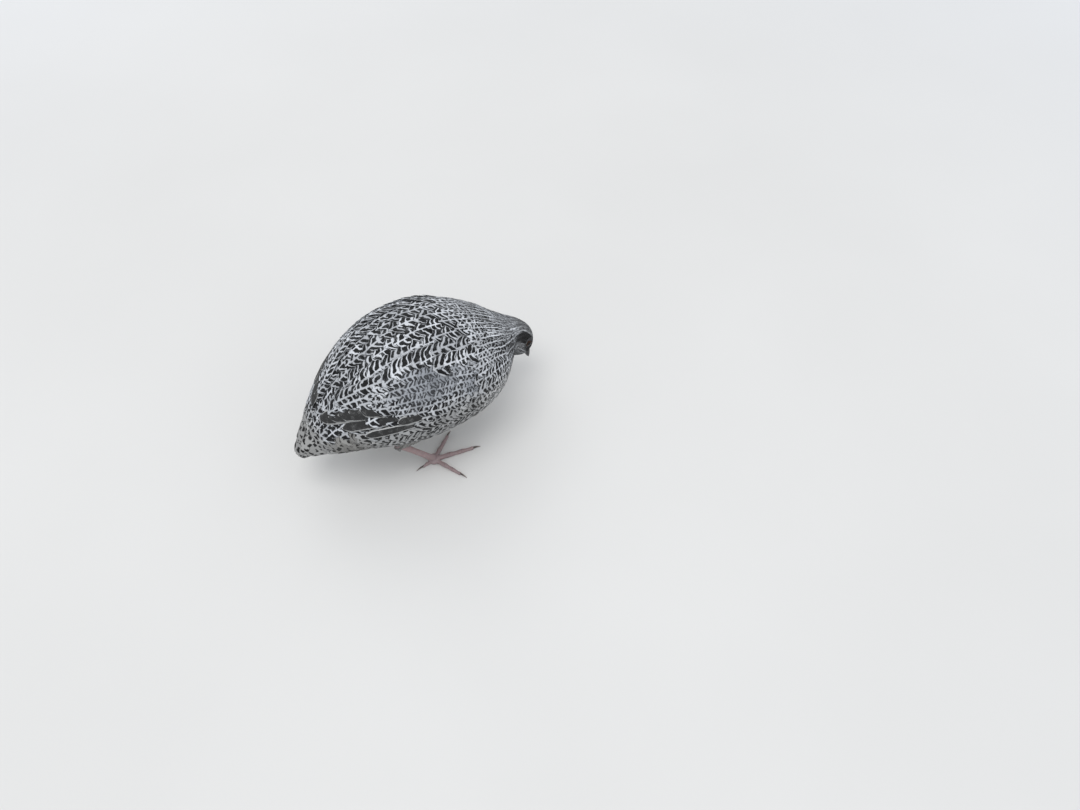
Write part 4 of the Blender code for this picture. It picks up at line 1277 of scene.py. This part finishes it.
def wing_flocks(side, chance):
    """Coverts, tertials and primaries of one folded wing."""
    # Coverts lie in lanes from the bend of the wing back, and leave the primaries bare
    roots = []
    for lane in range(WING_LANES):
        across = (lane + 0.5) / WING_LANES
        place = WING_FRONT + 0.12 - (0.10 if lane % 2 else 0.0)
        stop = covert_end(across) + 0.5
        order = 0
        while place > stop:
            low, high = wing_edges(wing_share(place))
            mm_place, mm_turn = steps_of(on_body, np.array(place), np.array(30.0), 0.0)
            bare = covert_bare(place)
            roots.append((place, across, lane, order, mm_turn * (high - low) / WING_LANES))
            place -= bare * chance.uniform(0.9, 1.1) / mm_place
            order += 1
    place, across, lane, order, spacing = np.array(roots).T
    n = len(place)
    across = across + chance.normal(0.0, 0.012, n)
    mm_place, _ = steps_of(on_body, place, np.full(n, 30.0), 0.0)
    to_place = place - covert_bare(place) * 2.4 * chance.uniform(0.92, 1.1, n) / mm_place
    to_place = np.maximum(to_place, covert_end(across) + chance.uniform(-0.08, 0.08, n))
    low, high = wing_edges(wing_share(place))
    to_low, to_high = wing_edges(wing_share(to_place))
    angle, to_angle = low + (high - low) * across, to_low + (to_high - to_low) * across
    edge_fall = bump(across, -0.04, 1.04, 0.2) * bump(wing_share(to_place), -0.05, 2.0, 0.2)
    marks, tone, warm = region_looks(to_place, to_angle, chance)
    marks[:, 0] *= 0.86
    greyer = in_patches(to_place, to_angle, WING_GREYS)
    for table, column, wanted in (
        (tone, 0, 0.055), (tone, 1, 0.29), (marks, 0, 2.6), (marks, 1, 0.44), (marks, 2, 0.30),
    ):
        table[:, column] = blend_to(table[:, column], wanted, greyer)
    coverts = as_flock(
        place=place, turn=turn_on(side, angle), to_place=to_place, to_turn=turn_on(side, to_angle),
        half=np.maximum(0.88 * spacing, 1.6) * chance.uniform(0.92, 1.08, n),
        low=-1.2 + 0.9 * edge_fall, high=0.2 + (WING_RISE - 0.4) * edge_fall,
        crown=0.36, chance=chance.random(n), warm=blend_to(warm, -0.35, greyer),
        marks=marks, tone=tone, column=lane, order=order, fray=0.85,
    )

    # Long feathers: dark primaries with a pale edge, and barred tertials over their roots
    rows = []
    for layer, table in enumerate((PRIMARIES, TERTIALS)):
        for number, (root, start, tip, end, half) in enumerate(table):
            lift = 0.7 + 0.12 * number if layer == 0 else 1.35 + 0.10 * number
            rows.append((root, start, tip, end, half, lift, layer, number))
    root, start, tip, end, half, lift, layer, number = np.array(rows).T
    n = len(root)
    flight = layer == 0

    def either(primary, tertial):
        return np.where(flight, primary, tertial)

    quills = as_flock(
        place=root, turn=turn_on(side, start), to_place=tip, to_turn=turn_on(side, end),
        half=half, low=0.2 + 0.3 * layer, high=lift, crown=either(0.55, 0.42),
        chance=chance.random(n), warm=either(0.18, -0.1),
        marks=threes(n, either(30.0, 4.0), either(-2.0, 0.27), either(-0.5, 0.52)),
        tone=threes(n, either(0.034, 0.010), either(0.46, 0.58), either(0.70, 0.50)),
        column=number + 8 * layer, order=0.0, fray=either(0.15, 0.8),
    )
    return coverts, quills


def covert_end(across):
    """Where the coverts end, so that the fan of primaries lies bare behind them."""
    return np.interp(across, *COVERT_ENDS)


def covert_bare(place):
    """How much of a covert shows: less at the bend of the wing."""
    return np.interp(place, (3.2, 4.9), (6.6, 4.4))


def tail_flock(chance):
    """The tail's long feathers, more over them that fill in between, and those under the tail."""
    rows = []
    for angle, root, tip, half, lift in TAIL_FEATHERS:
        for side in (-1, 1):
            tilt = 0.02 if side > 0 else 0.0
            laid = (
                (root, angle, tip + tilt, angle + 3.0, lift + tilt),
                (root + 0.2, angle - 11.0, tip + 0.75, angle - 8.0, lift + 0.3),
                (root, -angle, tip + 0.5, -angle - 3.0, 0.4),
            )
            for at, start, to, end, high in laid:
                rows.append((at, turn_on(side, start), to, turn_on(side, end), half, high))
    root, turn, tip, to_turn, half, lift = np.array(rows).T
    n = len(root)
    vary = chance.uniform
    marks = threes(n, vary(4.4, 5.6, n), vary(0.40, 0.54, n), vary(0.45, 0.8, n))
    tone = threes(n, 0.012, vary(0.32, 0.42, n), vary(0.45, 0.75, n))
    return as_flock(
        place=root - TAIL_PLACES, turn=turn, to_place=tip - TAIL_PLACES, to_turn=to_turn,
        half=half, low=-0.7, high=lift, crown=0.25, chance=chance.random(n), warm=0.25,
        marks=marks, tone=tone, column=np.arange(n) % 6, order=np.arange(n) // 6, fray=0.7,
    )


def thigh_flock(chance):
    """Short soft feathers down the thigh to the hock."""
    rows = []
    rings = 12
    for i in range(rings):
        place = 1.03 - 0.98 * i / (rings - 1)
        count = 20 if place > 0.3 else 12
        for k in range(count):
            rows.append((place, 360.0 * (k + 0.5 * (i % 2)) / count, i, k))
    place, turn, order, column = np.array(rows).T
    n = len(place)
    vary = chance.uniform
    tone = threes(n, 0.06, vary(0.20, 0.30, n), 0.6)
    return as_flock(
        place=place, turn=turn + vary(-5, 5, n), to_place=place - 0.26, to_turn=turn + vary(-6, 6, n),
        half=np.where(place > 0.3, 1.9, 1.0) * vary(0.9, 1.1, n), low=-1.2, high=0.10,
        crown=0.16, chance=chance.random(n), warm=0.4, marks=threes(n, 3.6, 0.8, 0.5), tone=tone,
        column=column, order=order, fray=0.9,
    )


def plumage():
    """All feathers, and the skin under them."""
    chance = np.random.default_rng(SEED)
    vane = feather_material()
    flock = body_flock(chance)
    middles = on_body(flock["place"] * 0.6 + flock["to_place"] * 0.4, flock["turn"], -2.0)
    looks = np.stack([flock["marks"][:, 1], flock["tone"][:, 0], flock["tone"][:, 1]], -1)
    tree = kdtree.KDTree(len(middles))
    for i, point in enumerate(middles):
        tree.insert(point * MM, i)
    tree.balance()
    skin = build_skin(skin_material(), tree, looks)
    dress(skin, "plumage", "torso", "neck", "head", "thigh_left", "thigh_right")

    flock = short_of_eyes(keep(flock, ~covered_by_wing(flock)))
    flock = face_shades(flock)
    dress(feathers("eye_rings", on_body, cells_by_grid(eye_ring(chance)), vane, 8, 5, "fine"), "plumage")
    bounds = (-1.0, 2.2, 4.4, 6.4, 8.6, 10.8, 20.0)
    names = ("coat_rump", "coat_loin", "coat_mantle", "coat_breast", "coat_neck", "coat_head")
    for name, low, high in zip(names, bounds, bounds[1:]):
        part = cells_by_grid(keep(flock, (flock["place"] >= low) & (flock["place"] < high)))
        form = (9, 5, "fine", 0) if low >= 8.0 else (13, 9, "round", 26)
        dress(feathers(name, on_body, part, vane, *form), "plumage")
    for side, word in ((-1, "right"), (1, "left")):
        coverts, quills = wing_flocks(side, chance)
        covert_piece = feathers(
            f"coverts_{word}", on_body, cells_by_grid(coverts), vane, 13, 9, "round", 26,
        )
        quill_piece = feathers(f"quills_{word}", on_body, cells_by_grid(quills), vane, 30, 13, "long")
        dress(quill_piece, "quills", f"wing_{word}")
        dress(covert_piece, "quills")
        part = cells_by_grid(thigh_flock(chance))
        soft = feathers(f"coat_thigh_{word}", on_thigh(side), part, vane, 10, 7, "round", 16)
        dress(soft, "plumage")
    tail = cells_by_grid(tail_flock(chance))
    tail = feathers("tail_feathers", on_body, tail, vane, 24, 11, "long", 20)
    dress(tail, "quills", "tail")


def floor():
    corners = ((-1.0, -1.0, 0.0), (1.0, -1.0, 0.0), (1.0, 1.0, 0.0), (-1.0, 1.0, 0.0))
    points = FLOOR_HALF * np.array(corners)
    made = new_object("floor", points, np.array([(0, 1, 2, 3)]), None, floor_material())


def lamp(name, energy, size, place, colour):
    """A soft square lamp that points at the bird."""
    data = bpy.data.lights.new(name, "AREA")
    data.energy = energy
    data.color = colour
    data.size = size
    made = bpy.data.objects.new(name, data)
    way = Vector((0.0, 0.0, 0.05)) - Vector(place)
    made.matrix_world = Matrix.Translation(place) @ way.to_track_quat("-Z", "Y").to_matrix().to_4x4()
    bpy.context.scene.collection.objects.link(made)


def lights():
    for row in LAMPS:
        lamp(*row)
    world = bpy.data.worlds.new("soft_room")
    world.use_nodes = True
    ground = world.node_tree.nodes["Background"]
    ground.inputs["Color"].default_value = (0.92, 0.95, 1.0, 1.0)
    ground.inputs["Strength"].default_value = 0.80
    bpy.context.scene.world = world
    bpy.context.scene.view_settings.view_transform = "Standard"


def camera():
    data = bpy.data.cameras.new("camera")
    data.lens = CAMERA_LENS
    data.sensor_width = 36.0
    data.clip_start = 0.01
    data.clip_end = 50.0
    made = bpy.data.objects.new("camera", data)
    x, y, z = CAMERA_AT
    at = ((x + SHIFT) * MM, y * MM, z * MM)
    rows = []
    for i in range(3):
        rows.append((CAMERA_RIGHT[i], CAMERA_UP[i], -CAMERA_FORWARD[i], at[i]))
    rows.append((0.0, 0.0, 0.0, 1.0))
    made.matrix_world = Matrix(rows)
    bpy.context.scene.collection.objects.link(made)
    bpy.context.scene.camera = made


# Zero for the measurement itself, which asks where the named sizes put the eye
SHIFT = 0.0
SHIFT = measured_shift()


def main():
    camera()
    plumage()
    wet, lid = eye_material(), lid_material()
    bill_horn = horn_material("bill_horn", (0.010, 0.010, 0.012), (0.06, 0.058, 0.060), 0.5)
    claw_horn = horn_material("claw_horn", (0.035, 0.028, 0.027), (0.24, 0.19, 0.17), 0.9)
    leg_skin = leg_material()
    for side in (-1, 1):
        eye(side, wet, lid)
        leg(side, leg_skin, claw_horn)
    mandible(True, bill_horn)
    mandible(False, bill_horn)
    floor()
    lights()


main()
